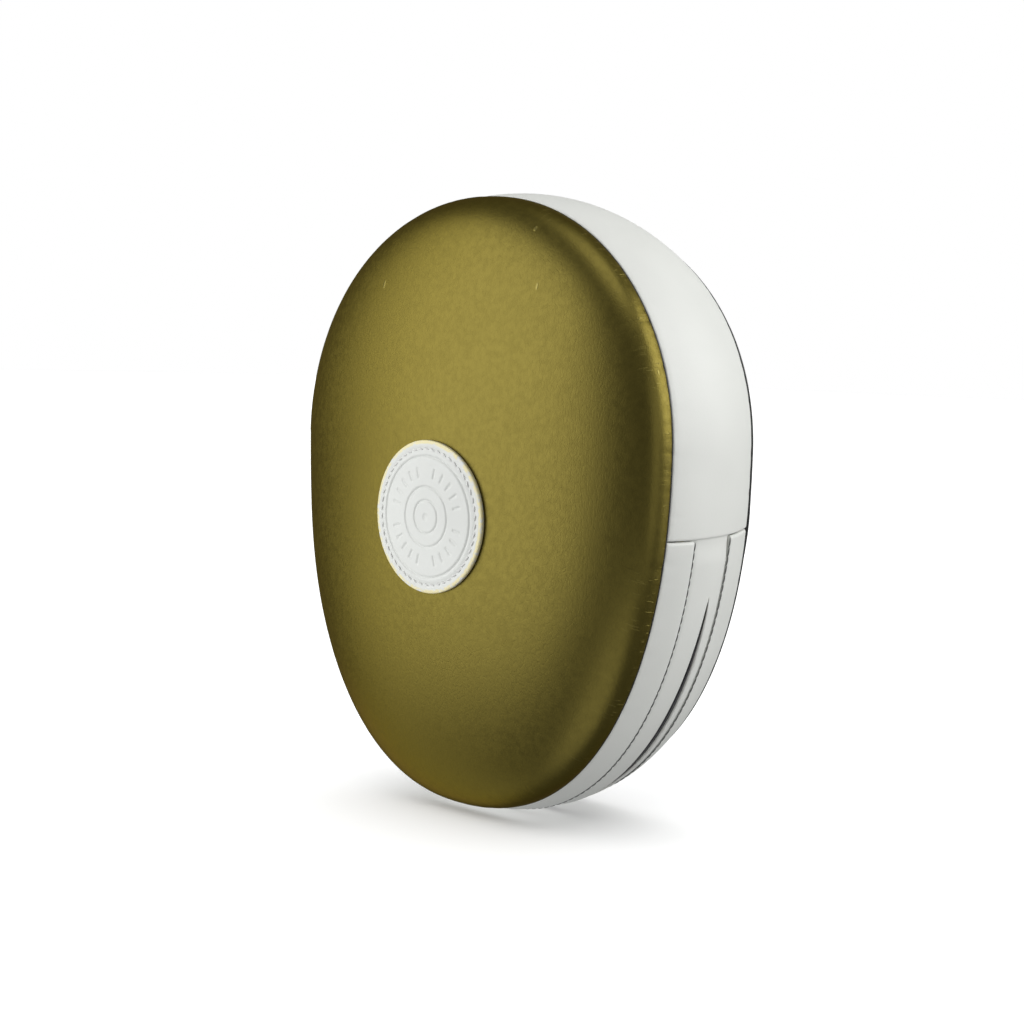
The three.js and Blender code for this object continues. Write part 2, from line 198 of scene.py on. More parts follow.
def make_piece(name, points, faces, material, uv=None, weld=0.005):
    """A smooth-shaded mesh object. Points are in millimetres, and those closer than weld become one."""
    mesh = bpy.data.meshes.new(name)
    points = np.asarray(points, float).reshape(-1, 3)
    mesh.from_pydata((points * MM).tolist(), [], [tuple(int(v) for v in f) for f in faces])
    if uv is not None:
        layer = mesh.uv_layers.new(name="UVMap")
        uv = np.asarray(uv, float).reshape(-1, 2)
        index = np.zeros(len(mesh.loops), int)
        mesh.loops.foreach_get("vertex_index", index)
        layer.data.foreach_set("uv", (uv[index] * MM).ravel())
    bm = bmesh.new()
    bm.from_mesh(mesh)
    bmesh.ops.remove_doubles(bm, verts=bm.verts, dist=weld * MM)
    bmesh.ops.dissolve_degenerate(bm, edges=bm.edges, dist=1e-7)
    bmesh.ops.recalc_face_normals(bm, faces=bm.faces)
    bm.to_mesh(mesh)
    bm.free()
    shade_smooth(mesh)
    mesh.materials.append(material)
    return add_object(name, mesh)


def bake_modifiers(piece):
    """Makes what the piece's modifiers show its own mesh."""
    bpy.context.view_layer.update()
    graph = bpy.context.evaluated_depsgraph_get()
    mesh = bpy.data.meshes.new_from_object(piece.evaluated_get(graph))
    piece.modifiers.clear()
    piece.data = mesh
    return piece


def subdivide(piece):
    modifier = piece.modifiers.new("subdivision", "SUBSURF")
    modifier.levels = modifier.render_levels = 1
    return bake_modifiers(piece)


def round_edges(piece, width):
    """Rounds a piece's sharp edges, and bakes its modifiers."""
    rounding = piece.modifiers.new("edges", "BEVEL")
    rounding.width = width * MM
    rounding.segments = 2
    rounding.limit_method = "ANGLE"
    rounding.angle_limit = math.radians(50)
    return bake_modifiers(piece)


def thicken(piece, thickness, edge):
    """Gives a sheet its thickness, inwards, and rounds its cut edges. Sizes are in millimetres."""
    solid = piece.modifiers.new("thickness", "SOLIDIFY")
    solid.thickness = thickness * MM
    solid.offset = -1
    return round_edges(piece, edge)


def points_of(piece):
    """A mesh's vertices, in millimetres."""
    flat = np.zeros(len(piece.data.vertices) * 3)
    piece.data.vertices.foreach_get("co", flat)
    return flat.reshape(-1, 3) / MM


def normals_of(piece):
    flat = np.zeros(len(piece.data.vertices) * 3)
    piece.data.vertex_normals.foreach_get("vector", flat)
    return flat.reshape(-1, 3)


def move_points(piece, points):
    piece.data.vertices.foreach_set("co", (points * MM).ravel())
    piece.data.update()


def paint_vector(piece, name, values):
    """Stores three numbers for each vertex, for a material to read."""
    attribute = piece.data.attributes.new(name, "FLOAT_VECTOR", "POINT")
    attribute.data.foreach_set("vector", np.asarray(values, np.float32).ravel())


def paint(piece, name, values):
    """Stores a number for each vertex, for a material to read."""
    attribute = piece.data.attributes.new(name, "FLOAT", "POINT")
    attribute.data.foreach_set("value", np.asarray(values, np.float32))


def lathe(name, profile, material, around=192):
    """A closed egg-shaped solid from a profile of (nominal radius, y) points that runs from axis to axis."""
    profile = np.asarray(profile, float)
    turn = np.linspace(0, 2 * np.pi, around, endpoint=False)
    points = egg_point(profile[None, :, 0], turn[:, None], profile[None, :, 1])
    faces = quads(around, len(profile), wrap_rows=True)
    uv = np.stack(np.meshgrid(turn * NOMINAL, lengths_along(profile), indexing="ij"), axis=-1)
    return make_piece(name, points, faces, material, uv)


def corner_arc(middle, radius, start, end, steps=4):
    """Points on a quarter of a circle, as (first, second) pairs; angles are in degrees."""
    turn = np.radians(np.linspace(start, end, steps))
    return [(middle[0] + radius * math.cos(a), middle[1] + radius * math.sin(a)) for a in turn]


def strip_outline(y0, y1, thickness, corner, steps=14):
    """A closed loop of (inset, y) points round the section of a strip of leather with rounded edges."""
    outside = [(0, y) for y in np.linspace(y0 + corner, y1 - corner, steps)]
    inside = [(thickness, y) for y in np.linspace(y1 - corner, y0 + corner, steps)]
    far = corner_arc((corner, y1 - corner), corner, 180, 90)[1:]
    far += corner_arc((thickness - corner, y1 - corner), corner, 90, 0)[:-1]
    near = corner_arc((thickness - corner, y0 + corner), corner, 0, -90)[1:]
    near += corner_arc((corner, y0 + corner), corner, -90, -180)[:-1]
    return np.array(outside + far + inside + near)


def crowded_ends(count, power):
    """Shares from 0 to 1 that lie closer together towards both ends."""
    s = np.linspace(-1, 1, count)
    return (np.sign(s) * (1 - (1 - np.abs(s)) ** power) + 1) / 2


def end_caps(rows, columns):
    """The two faces that close the ends of a swept loop."""
    first = tuple(range(columns))
    last = tuple((rows - 1) * columns + j for j in reversed(range(columns)))
    return [first, last]


END_ROLL = 1.2  # how far from a strip's cut end its outside starts to round off


def wall_band(name, outline, cut_z, upper, material, dent, depth=0.0):
    """A strip of the side wall above or below a level cut. outline holds (inset, y) points, and dent is a function
    of angle and y that gives how far the surface lies in."""
    thickness = outline[:, 0].max()
    inset = outline[:, 0] + depth
    y = outline[:, 1]
    radius = wall_radius(y) - inset
    start = angle_at_height(radius, cut_z + seam_rise(y))
    span = np.pi - 2 * start if upper else -(np.pi + 2 * start)
    share = crowded_ends(260 if upper else 220, 1.9)
    angle = start[None, :] + share[:, None] * span[None, :]
    reach = np.minimum(share, 1 - share)[:, None] * np.abs(span) * NOMINAL
    outer = 1 - outline[:, 0] / thickness
    roll = END_ROLL - np.sqrt(np.maximum(END_ROLL**2 - np.maximum(END_ROLL - reach, 0) ** 2, 0))
    pushed = roll * outer * 0.8 + dent(angle, y[None, :]) * outer
    points = egg_point(radius[None, :] - pushed, angle, np.broadcast_to(y, angle.shape))
    rows, columns = angle.shape
    faces = quads(rows, columns, wrap_columns=True) + end_caps(rows, columns)
    uv = np.stack([angle * NOMINAL, np.broadcast_to(lengths_along(outline), angle.shape)], axis=-1)
    return make_piece(name, points, faces, material, uv)


def puff(piece, pinned, pressure, slack, reach, frames=20):
    """Blows a sheet up like cloth over padding, held at its pinned vertices. slack lets the cloth stretch, and
    reach is the furthest that a point may move, in millimetres."""
    start = points_of(piece)
    group = piece.vertex_groups.new(name="pins")
    group.add([int(i) for i in np.flatnonzero(pinned)], 1.0, "REPLACE")
    cloth = piece.modifiers.new("cloth", "CLOTH")
    settings = cloth.settings
    settings.quality = 6
    settings.mass = 0.3
    settings.tension_stiffness = 18
    settings.compression_stiffness = 18
    settings.shear_stiffness = 8
    settings.bending_stiffness = 1.5
    settings.air_damping = 4
    settings.shrink_min = -slack
    settings.vertex_group_mass = "pins"
    settings.use_pressure = True
    settings.uniform_pressure_force = pressure
    settings.effector_weights.gravity = 0
    cloth.point_cache.frame_start = 1
    cloth.point_cache.frame_end = frames
    scene = bpy.context.scene
    for frame_number in range(1, frames + 1):
        scene.frame_set(frame_number)
    bake_modifiers(piece)
    scene.frame_set(1)
    move = points_of(piece) - start
    size = np.linalg.norm(move, axis=1, keepdims=True)
    move_points(piece, start + move * (reach * np.tanh(size / reach) / np.maximum(size, 1e-9)))
    piece.vertex_groups.clear()


# ---- Material making -----------------------------------------------------------------------------------------
class Recipe:
    """One material's node tree, with short calls to build it."""

    def __init__(self, name, color, roughness, metallic=0.0, sheen=0.0):
        self.material = bpy.data.materials.new(name)
        self.material.use_nodes = True
        self.tree = self.material.node_tree
        self.shader = self.tree.nodes["Principled BSDF"]
        self.color = (*color, 1)
        self.set(self.shader, "Base Color", self.color)
        self.set(self.shader, "Roughness", roughness)
        self.set(self.shader, "Metallic", metallic)
        self.set(self.shader, "Sheen Weight", sheen)
        self.height = None

    @staticmethod
    def set(node, socket, value):
        node.inputs[socket].default_value = value

    def node(self, kind, settings=None, **inputs):
        made = self.tree.nodes.new(kind)
        for key, value in (settings or {}).items():
            setattr(made, key, value)
        for socket, value in inputs.items():
            socket = socket.replace("_", " ")
            if isinstance(value, bpy.types.NodeSocket):
                self.tree.links.new(value, made.inputs[socket])
            else:
                made.inputs[socket].default_value = value
        return made

    def place(self, scale=(1, 1, 1), uv=False):
        """Object or UV coordinates in metres, stretched by scale."""
        coordinates = self.node("ShaderNodeTexCoord").outputs["UV" if uv else "Object"]
        return self.node("ShaderNodeMapping", Vector=coordinates, Scale=scale).outputs["Vector"]

    def noise(self, size, detail, where=None):
        """Noise whose features are about size millimetres across."""
        made = self.node("ShaderNodeTexNoise", Vector=where or self.place(), Scale=1 / (size * MM), Detail=detail)
        return made.outputs["Fac"]

    def cells(self, size, where=None, feature="F1", randomness=1.0):
        """Cells about size millimetres across; the value is the distance from each cell's middle."""
        made = self.node(
            "ShaderNodeTexVoronoi",
            {"feature": feature},
            Vector=where or self.place(),
            Scale=1 / (size * MM),
            Randomness=randomness,
        )
        return made.outputs["Distance"]

    def wave(self, size, axis, where):
        """Ridges size millimetres apart that follow each other along an axis."""
        made = self.node(
            "ShaderNodeTexWave",
            {"wave_type": "BANDS", "bands_direction": axis, "wave_profile": "SIN"},
            Vector=where,
            Scale=2 * math.pi / (20 * size * MM),
        )
        return made.outputs["Fac"]

    def math(self, operation, a, b):
        made = self.tree.nodes.new("ShaderNodeMath")
        made.operation = operation
        for socket, value in zip(made.inputs, (a, b)):
            if isinstance(value, bpy.types.NodeSocket):
                self.tree.links.new(value, socket)
            else:
                socket.default_value = value
        return made.outputs["Value"]

    def ramp(self, value, low, high, to_low=0.0, to_high=1.0):
        made = self.node(
            "ShaderNodeMapRange",
            {"interpolation_type": "SMOOTHSTEP"},
            Value=value,
            From_Min=low,
            From_Max=high,
            To_Min=to_low,
            To_Max=to_high,
        )
        return made.outputs["Result"]

    def attribute(self, name):
        return self.node("ShaderNodeAttribute", {"attribute_name": name}).outputs["Fac"]

    def vector(self, name):
        return self.node("ShaderNodeAttribute", {"attribute_name": name}).outputs["Vector"]

    def mix_color(self, share, other):
        """Turns the colour built so far towards another, by a share from 0 to 1."""
        mix = self.tree.nodes.new("ShaderNodeMix")
        mix.data_type = "RGBA"
        self.tree.links.new(share, mix.inputs[0])
        link = self.shader.inputs["Base Color"].links
        if link:
            self.tree.links.new(link[0].from_socket, mix.inputs[6])
        else:
            mix.inputs[6].default_value = self.color
        mix.inputs[7].default_value = (*other, 1)
        self.tree.links.new(mix.outputs[2], self.shader.inputs["Base Color"])

    def stain(self, value, low, high, share, other):
        """Turns the colour towards another, by nothing where value is low and by share where it is high."""
        self.mix_color(self.ramp(value, low, high, 0.0, share), other)

    def add_height(self, value, depth):
        """Adds relief: value from 0 to 1 stands for depth millimetres."""
        scaled = self.math("MULTIPLY", value, depth)
        self.height = scaled if self.height is None else self.math("ADD", self.height, scaled)

    def finish(self, roughness=None):
        """Joins up the relief and a varying roughness, and gives the material."""
        if self.height is not None:
            bump = self.node("ShaderNodeBump", Height=self.height, Distance=MM, Strength=1.0)
            self.tree.links.new(bump.outputs["Normal"], self.shader.inputs["Normal"])
        if roughness is not None:
            self.tree.links.new(roughness, self.shader.inputs["Roughness"])
        return self.material


def shade(color, factor):
    return tuple(min(1.0, c * factor) for c in color)


def leather(
    name,
    color,
    roughness,
    grain,
    relief,
    metallic=0.0,
    mottle=0.12,
    worn=None,
    tint=None,
    pull=1.0,
    lines=0.2,
    gathers=None,
):
    """Grained leather: pebbles with fine valleys between them, soft creases, uneven colour and shine. worn colours
    its rubbed edges, and tint its shine at a glancing angle. gathers is a lighter colour painted on the fine
    creases at its seam, a painted highlight on them, and also on its sparse pores. pull stretches its grain
    upwards, and lines darkens the valleys."""
    recipe = Recipe(name, color, roughness, metallic)
    if tint is not None:
        recipe.set(recipe.shader, "Specular Tint", (*tint, 1))
    where = recipe.place((1, 1, 1 / pull))
    pebbles = recipe.cells(grain, where, "SMOOTH_F1")
    valleys = recipe.cells(grain * 2.3, where, "DISTANCE_TO_EDGE")
    fine = recipe.noise(grain * 0.45, 4, where)
    recipe.add_height(recipe.math("SUBTRACT", 1.0, pebbles), relief)
    recipe.add_height(recipe.ramp(valleys, 0.0, 0.12), relief * 0.7)
    recipe.add_height(fine, relief * 0.8)
    recipe.stain(recipe.noise(38, 2), 0.42, 0.68, mottle, shade(color, 0.55))
    recipe.stain(valleys, 0.10, 0.0, lines, shade(color, 0.6))
    if worn is not None:
        rub = recipe.math("MULTIPLY", recipe.attribute("wear"), recipe.ramp(recipe.noise(2.2, 5), 0.35, 0.65))
        recipe.mix_color(rub, worn)
    # Painted highlight: the fine crease ticks by the seam are turned towards the lighter gathers colour, and the
    # pores get the same lighter colour.
    if gathers is not None:
        streaks = recipe.noise(0.7, 2, recipe.vector("seam_place"))
        close = recipe.attribute("near_seam")
        patches = recipe.math("MULTIPLY", close, recipe.ramp(recipe.noise(16, 1), 0.4, 0.62, 0.15, 1.0))
        ticks = recipe.math("MULTIPLY", recipe.ramp(streaks, 0.6, 0.72), patches)
        recipe.add_height(ticks, 0.09)
        recipe.mix_color(recipe.math("MULTIPLY", ticks, 0.3), gathers)
        spots = recipe.cells(13, recipe.place((1, 1, 0.3)))
        pores = recipe.ramp(spots, 0.06, 0.035)
        recipe.add_height(pores, 0.07)
        recipe.mix_color(recipe.math("MULTIPLY", pores, 0.3), gathers)
    low, high = roughness - 0.03, roughness + 0.04
    return recipe.finish(recipe.ramp(recipe.noise(2.5, 4), 0.3, 0.7, low, high))


def foam(name, color, cell):
    """Cut foam: small open cells of uneven size, their hollows painted darker as painted shade."""
    recipe = Recipe(name, color, 0.9)
    bubbles = recipe.cells(cell)
    recipe.add_height(bubbles, 0.25)
    recipe.add_height(recipe.noise(cell * 0.5, 3), 0.08)
    # painted shade in the cells' hollows
    recipe.stain(bubbles, 0.5, 0.1, 0.5, shade(color, 0.55))
    recipe.stain(recipe.noise(18, 2), 0.4, 0.7, 0.25, shade(color, 0.8))
    return recipe.finish()


def woven(name, color, thread_size, relief, crossing_highlight):
    """Plain weave on UV coordinates: two sets of threads that cross over and under each other. The raised
    crossings are painted lighter, a painted highlight on the thread tops.
    """
    recipe = Recipe(name, color, 0.8, sheen=0.2)
    where = recipe.place(uv=True)
    warp = recipe.wave(thread_size, "X", where)
    weft = recipe.wave(thread_size, "Y", where)
    weave = recipe.math("MULTIPLY", warp, weft)
    over = recipe.math("MAXIMUM", recipe.math("POWER", warp, 2.0), recipe.math("POWER", weft, 2.0))
    recipe.add_height(over, relief)
    recipe.add_height(weave, relief * 0.6)
    recipe.add_height(recipe.noise(0.25, 2), relief * 0.4)
    # painted highlight: the raised crossings are turned lighter
    recipe.stain(weave, 0.55, 1.0, crossing_highlight, shade(color, 2.6))
    recipe.stain(recipe.noise(9, 3), 0.4, 0.7, 0.3, shade(color, 0.6))
    return recipe.finish(recipe.ramp(recipe.noise(1.5, 2), 0.3, 0.7, 0.72, 0.88))


def napped(name, color, size, relief):
    """Hook or loop tape: a dense field of tiny curls, their tops painted lighter as a painted highlight."""
    recipe = Recipe(name, color, 0.95, sheen=0.35)
    curls = recipe.cells(size, randomness=0.8)
    recipe.add_height(recipe.math("SUBTRACT", 1.0, curls), relief)
    recipe.add_height(recipe.noise(size * 0.4, 4), relief * 0.6)
    # painted highlight on the raised curl tops
    recipe.stain(curls, 0.5, 0.0, 0.5, shade(color, 3.0))
    return recipe.finish()


def thread(name, color):
    """Twisted sewing thread."""
    recipe = Recipe(name, color, 0.55, sheen=0.3)
    twist = recipe.noise(0.3, 2)
    recipe.add_height(twist, 0.05)
    recipe.stain(twist, 0.4, 0.7, 0.3, shade(color, 0.7))
    return recipe.finish()


def rubber(name, color):
    recipe = Recipe(name, color, 0.6)
    recipe.add_height(recipe.noise(0.5, 4), 0.03)
    recipe.stain(recipe.noise(5, 4), 0.45, 0.7, 0.4, shade(color, 1.6))
    return recipe.finish(recipe.ramp(recipe.noise(3, 3), 0.3, 0.7, 0.5, 0.68))


def fibre_board(name, color):
    recipe = Recipe(name, color, 0.8)
    fibres = recipe.noise(1.4, 5, recipe.place((1, 1, 0.25)))
    recipe.add_height(fibres, 0.08)
    recipe.stain(fibres, 0.35, 0.7, 0.5, shade(color, 0.6))
    return recipe.finish()


def knitted_mesh(name, color):
    """Spacer mesh: small round holes in even rows, painted dark inside as painted shade."""
    recipe = Recipe(name, color, 0.85, sheen=0.25)
    holes = recipe.cells(1.5, randomness=0.12)
    recipe.add_height(recipe.ramp(holes, 0.15, 0.5), 0.3)
    recipe.add_height(recipe.noise(0.3, 2), 0.04)
    # painted shade in the holes
    recipe.stain(holes, 0.42, 0.2, 0.85, shade(color, 0.25))
    return recipe.finish()


GOLD = (0.14, 0.114, 0.026)
WHITE = (0.84, 0.85, 0.805)
CREAM = (0.76, 0.775, 0.74)
BLACK = (0.022, 0.022, 0.024)

gold_leather = leather(
    "gold_leather",
    GOLD,
    0.38,
    grain=0.8,
    relief=0.014,
    metallic=0.88,
    mottle=0.05,
    worn=(0.20, 0.165, 0.05),
    tint=(0.62, 0.46, 0.14),
    pull=1.8,
    lines=0.12,
    # the painted highlight colour of the seam's crease ticks, also put on the sparse pores
    gathers=(0.42, 0.36, 0.13),
)
white_leather = leather(
    "white_leather", WHITE, 0.5, grain=0.8, relief=0.007, mottle=0.06, worn=(0.70, 0.69, 0.64), lines=0.015
)
badge_leather = leather(
    "badge_leather", CREAM, 0.45, grain=0.7, relief=0.008, mottle=0.1, worn=(0.86, 0.78, 0.45), lines=0.02
)
black_leather = leather(
    "black_leather", BLACK, 0.45, grain=1.1, relief=0.05, mottle=0.3, worn=(0.075, 0.072, 0.07)
)
piping_leather = leather("piping_leather", (0.012, 0.012, 0.012), 0.5, grain=0.5, relief=0.02)
white_thread = thread("white_thread", (0.78, 0.78, 0.76))
grey_thread = thread("grey_thread", (0.30, 0.31, 0.30))
seam_thread = thread("seam_thread", (0.10, 0.105, 0.10))
black_webbing = woven("black_webbing", (0.025, 0.025, 0.027), 0.9, 0.22, crossing_highlight=0.35)
dark_lining = woven("dark_lining", (0.03, 0.03, 0.032), 0.55, 0.12, crossing_highlight=0.6)
spacer_mesh = knitted_mesh("spacer_mesh", (0.045, 0.045, 0.05))
loop_tape = napped("loop_tape", (0.02, 0.02, 0.022), 0.5, 0.4)
hook_tape = napped("hook_tape", (0.03, 0.03, 0.032), 0.9, 0.5)
tab_rubber = rubber("tab_rubber", (0.03, 0.03, 0.032))
soft_foam = foam("soft_foam", (0.72, 0.66, 0.42), 0.9)
firm_foam = foam("firm_foam", (0.05, 0.052, 0.055), 0.6)
board = fibre_board("board", (0.36, 0.24, 0.12))


# ---- Seam puckers and stitches -------------------------------------------------------------------------------
AROUND_SAMPLES = np.linspace(-np.pi, np.pi, 2881)
SEAM_LENGTHS = lengths_along(egg_point(NOMINAL, AROUND_SAMPLES, FACE_SEAM_Y))
SEAM_LENGTH = SEAM_LENGTHS[-1]


def around_seam(angle, values):
    """Values that belong to the seam's sample points, read at an angle."""
    return np.interp((angle + np.pi) % (2 * np.pi) - np.pi, AROUND_SAMPLES, values)


def seam_distance(angle):
    """How far along the face seam an angle lies, in millimetres."""
    return around_seam(angle, SEAM_LENGTHS)


def pucker_row(seed, spacing, width, depth):
    """Uneven small dents in a row along the seam, as depths at each of the seam's sample points."""
    rng = np.random.default_rng(seed)
    count = int(SEAM_LENGTH / spacing)
    places = (np.arange(count) + rng.uniform(-0.35, 0.35, count)) * SEAM_LENGTH / count
    widths = width * rng.uniform(0.6, 1.4, count)
    depths = depth * rng.uniform(0.2, 1.0, count) ** 1.5
    gap = SEAM_LENGTHS[:, None] - places[None, :]
    gap = (gap + SEAM_LENGTH / 2) % SEAM_LENGTH - SEAM_LENGTH / 2
    return (depths * np.exp(-((gap / widths) ** 2))).sum(axis=1)


def puckers(row, angle, away, reach):
    """Depth of a row of puckers at an angle and a distance away from the seam."""
    return around_seam(angle, row) * np.exp(-((np.maximum(away, 0) / reach) ** 1.3))


SHORT_PUCKERS = pucker_row(seed=3, spacing=5.2, width=0.9, depth=0.16)
LONG_PUCKERS = pucker_row(seed=8, spacing=19, width=2.4, depth=0.12)
WALL_PUCKERS = pucker_row(seed=21, spacing=9, width=1.6, depth=0.22)


def stitch_row(name, path, out, material, length=2.9, pitch=3.7, radius=0.24, sink=0.12, slant=0.0):
    """A row of stitches along a path of points, each a short arched thread whose ends dip into the leather.
    out holds the surface's outward direction at each point, and slant turns every stitch off the path a little."""
    path = np.asarray(path, float)
    out = np.asarray(out, float)
    along = lengths_along(path)
    count = max(2, int(along[-1] / pitch))
    sides, rings = 6, 7
    turn = np.linspace(0, 2 * np.pi, sides, endpoint=False)
    points, faces = [], []

    def at(values, place):
        return np.array([np.interp(place, along, values[:, k]) for k in range(3)])

    for i in range(count):
        middle = (i + 0.5) * along[-1] / count
        a = at(path, middle - length / 2)
        b = at(path, middle + length / 2)
        up = at(out, middle)
        up /= np.linalg.norm(up)
        run = (b - a) / np.linalg.norm(b - a)
        side = np.cross(run, up)
        base = len(points)
        for j in range(rings):
            s = j / (rings - 1)
            arch = math.sin(math.pi * s)
            thin = radius * (0.45 + 0.55 * arch**0.5)
            lift = sink * -2.2 * (1 - arch**0.6) + radius * 0.45
            centre = at(path, middle + (s - 0.5) * length) + up * lift + side * (s - 0.5) * slant
            for angle in turn:
                points.append(centre + (side * math.cos(angle) + up * math.sin(angle)) * thin)
        faces += quads(rings, sides, wrap_columns=True, start=base)
        faces += [tuple(base + k for k in reversed(range(sides)))]
        faces += [tuple(base + (rings - 1) * sides + k for k in range(sides))]
    return make_piece(name, points, faces, material, weld=0.0)


def cord_loop(name, radius, y, thickness, material, proud=None, around=360):
    """A round cord laid in a seam, all round the wall. proud is a function of angle that gives how far the cord
    stands out."""
    angle = np.linspace(0, 2 * np.pi, around, endpoint=False)
    section = np.linspace(0, 2 * np.pi, 10, endpoint=False)
    r = radius + thickness * np.cos(section)[None, :]
    if proud is not None:
        r = r + proud(angle)[:, None]
    points = egg_point(r, angle[:, None], (y + thickness * np.sin(section))[None, :])
    faces = quads(around, len(section), wrap_rows=True, wrap_columns=True)
    uv = np.stack(np.meshgrid(angle * NOMINAL, section * thickness, indexing="ij"), axis=-1)
    return make_piece(name, points, faces, material, uv)


def wall_line(y, above_surface, angles):
    """Points along the wall at a depth, with the outward directions there."""
    points = egg_point(wall_radius(y) + above_surface, angles, y)
    outer = egg_point(wall_radius(y) + above_surface + 1, angles, y)
    return points, outer - points


# ---- Bodies and CAD nodes ------------------------------------------------------------------------------------
ACROSS_HINGE = "across_hinge"  # in place of a body: a piece of the wrist flap that bends at the cross seam


def attach(piece, slot, body, *nodes, fill=None):
    if body == ACROSS_HINGE:
        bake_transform(piece)
    else:
        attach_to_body(piece, body)
    if nodes:
        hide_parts(*nodes)


# ---- Striking face -------------------------------------------------------------------------------------------
LEATHER = 1.6
RIM_ROLL = ((109.85, 0.2), (109.5, 0.3), (108.9, 0.25))  # nominal radius, and distance behind the rim


def disc_grid(cells):
    """A square grid of cells mapped onto a disc: each point's share of the radius and its angle, the faces, and
    the numbers of the points round the edge in order."""
    s = np.linspace(-1, 1, cells + 1)
    u, v = np.meshgrid(s, s, indexing="ij")
    x = u * np.sqrt(1 - v**2 / 2)
    z = v * np.sqrt(1 - u**2 / 2)
    share = np.sin(np.pi / 2 * np.clip(np.hypot(x, z), 0, 1))
    n = cells + 1
    edge = [i * n for i in range(n)]
    edge += [(n - 1) * n + j for j in range(1, n)]
    edge += [i * n + n - 1 for i in range(n - 2, -1, -1)]
    edge += [j for j in range(n - 2, 0, -1)]
    return share.ravel(), np.arctan2(z, x).ravel(), quads(n, n), edge


def make_face():
    """The gold leather dome: drawn tight over its foam, gathered in small puckers where it is sewn in."""
    share, angle, faces, edge = disc_grid(88)
    outside = egg_point(share * NOMINAL, angle, crown_y(share))
    inside = egg_point(share * (NOMINAL - LEATHER), angle, crown_y(share, CROWN - LEATHER))
    count = len(share)
    loops = [np.array(edge)]
    points = [outside]
    made = count
    for radius, y in RIM_ROLL:
        points.append(egg_point(radius, angle[edge], RIM_Y + y))
        loops.append(np.arange(made, made + len(edge)))
        made += len(edge)
    points.append(inside)
    loops.append(np.array(edge) + made)
    faces = faces + [tuple(v + made for v in reversed(f)) for f in faces]
    for first, second in zip(loops[:-1], loops[1:]):
        n = len(edge)
        faces += [(first[i], second[i], second[(i + 1) % n], first[(i + 1) % n]) for i in range(n)]
    piece = make_piece("face_leather", np.concatenate(points), faces, gold_leather)
    subdivide(piece)

    at = points_of(piece)
    radius, turn = nominal_radius(at[:, 0], at[:, 2])
    away = RIM_Y - at[:, 1]
    dent = puckers(SHORT_PUCKERS, turn, away, 4.0) + puckers(LONG_PUCKERS, turn, away, 9.0)
    slack = 0.35 * np.sin(seam_distance(turn) / 23 + 1.3 * np.sin(seam_distance(turn) / 41))
    slack = slack * np.clip(away / 8, 0, 1) * np.clip(1.6 - away / 16, 0, 1)
    move_points(piece, at - normals_of(piece) * (dent + slack * 0.6)[:, None])
    paint(piece, "wear", np.clip(1 - away / 7, 0, 1) ** 2 * 0.5)
    paint(piece, "near_seam", np.exp(-((away / 7.5) ** 2)))
    seam = egg_point(NOMINAL, turn, away * 0.13)
    paint_vector(piece, "seam_place", seam * MM)
    attach(piece, "face_leather", "pad", "face_panel", fill=0.95)


BADGE_LOW, BADGE_HIGH = cad_box("badge")
BADGE_RADIUS = BADGE_HIGH[0]
BADGE_Z = (BADGE_LOW[2] + BADGE_HIGH[2]) / 2
BADGE_TOP = 2.0
BADGE_CUT = 0.6  # radius of the cut edge's rounding
THREAD_RING = 26.2
BORDER_RING = 23.4
TARGET_RINGS = (11.6, 6.4)
TICKS_START, TICKS_END = 15.0, 19.6


def smooth_ring(distance, middle, width):
    """1 on a ring, falling smoothly to 0 at width from it."""
    return np.exp(-(((distance - middle) / width) ** 2))


def badge_relief(distance, angle):
    """The pressed pattern on the badge: a border groove, a band of plain ticks and a target's rings."""
    pressed = 0.5 * smooth_ring(distance, BORDER_RING, 0.42)
    pressed += 0.24 * smooth_ring(distance, THREAD_RING, 0.9)
    pressed += sum(0.42 * smooth_ring(distance, ring, 0.4) for ring in TARGET_RINGS)
    pressed += 0.3 * np.clip(1.6 - distance, 0, 1) ** 0.5
    ticks = np.clip(np.cos(angle * 24) * 3 - 2, 0, 1)
    band = np.clip((distance - TICKS_START) / 0.6, 0, 1) * np.clip((TICKS_END - distance) / 0.6, 0, 1)
    quarter = np.abs(np.sin(angle * 2)) < 0.34
    return pressed + 0.38 * ticks * band * ~quarter


def on_dome(distance, angle, height):
    """Points over the dome at a distance and angle from the badge's middle."""
    x = distance * np.cos(angle)
    z = BADGE_Z + distance * np.sin(angle)
    base = crown_surface(x, z)
    dx = crown_surface(x + 0.5, z) - crown_surface(x - 0.5, z)
    dz = crown_surface(x, z + 0.5) - crown_surface(x, z - 0.5)
    out = np.cross(dx, dz)
    out /= np.linalg.norm(out, axis=-1, keepdims=True)
    return base + out * height[..., None], out


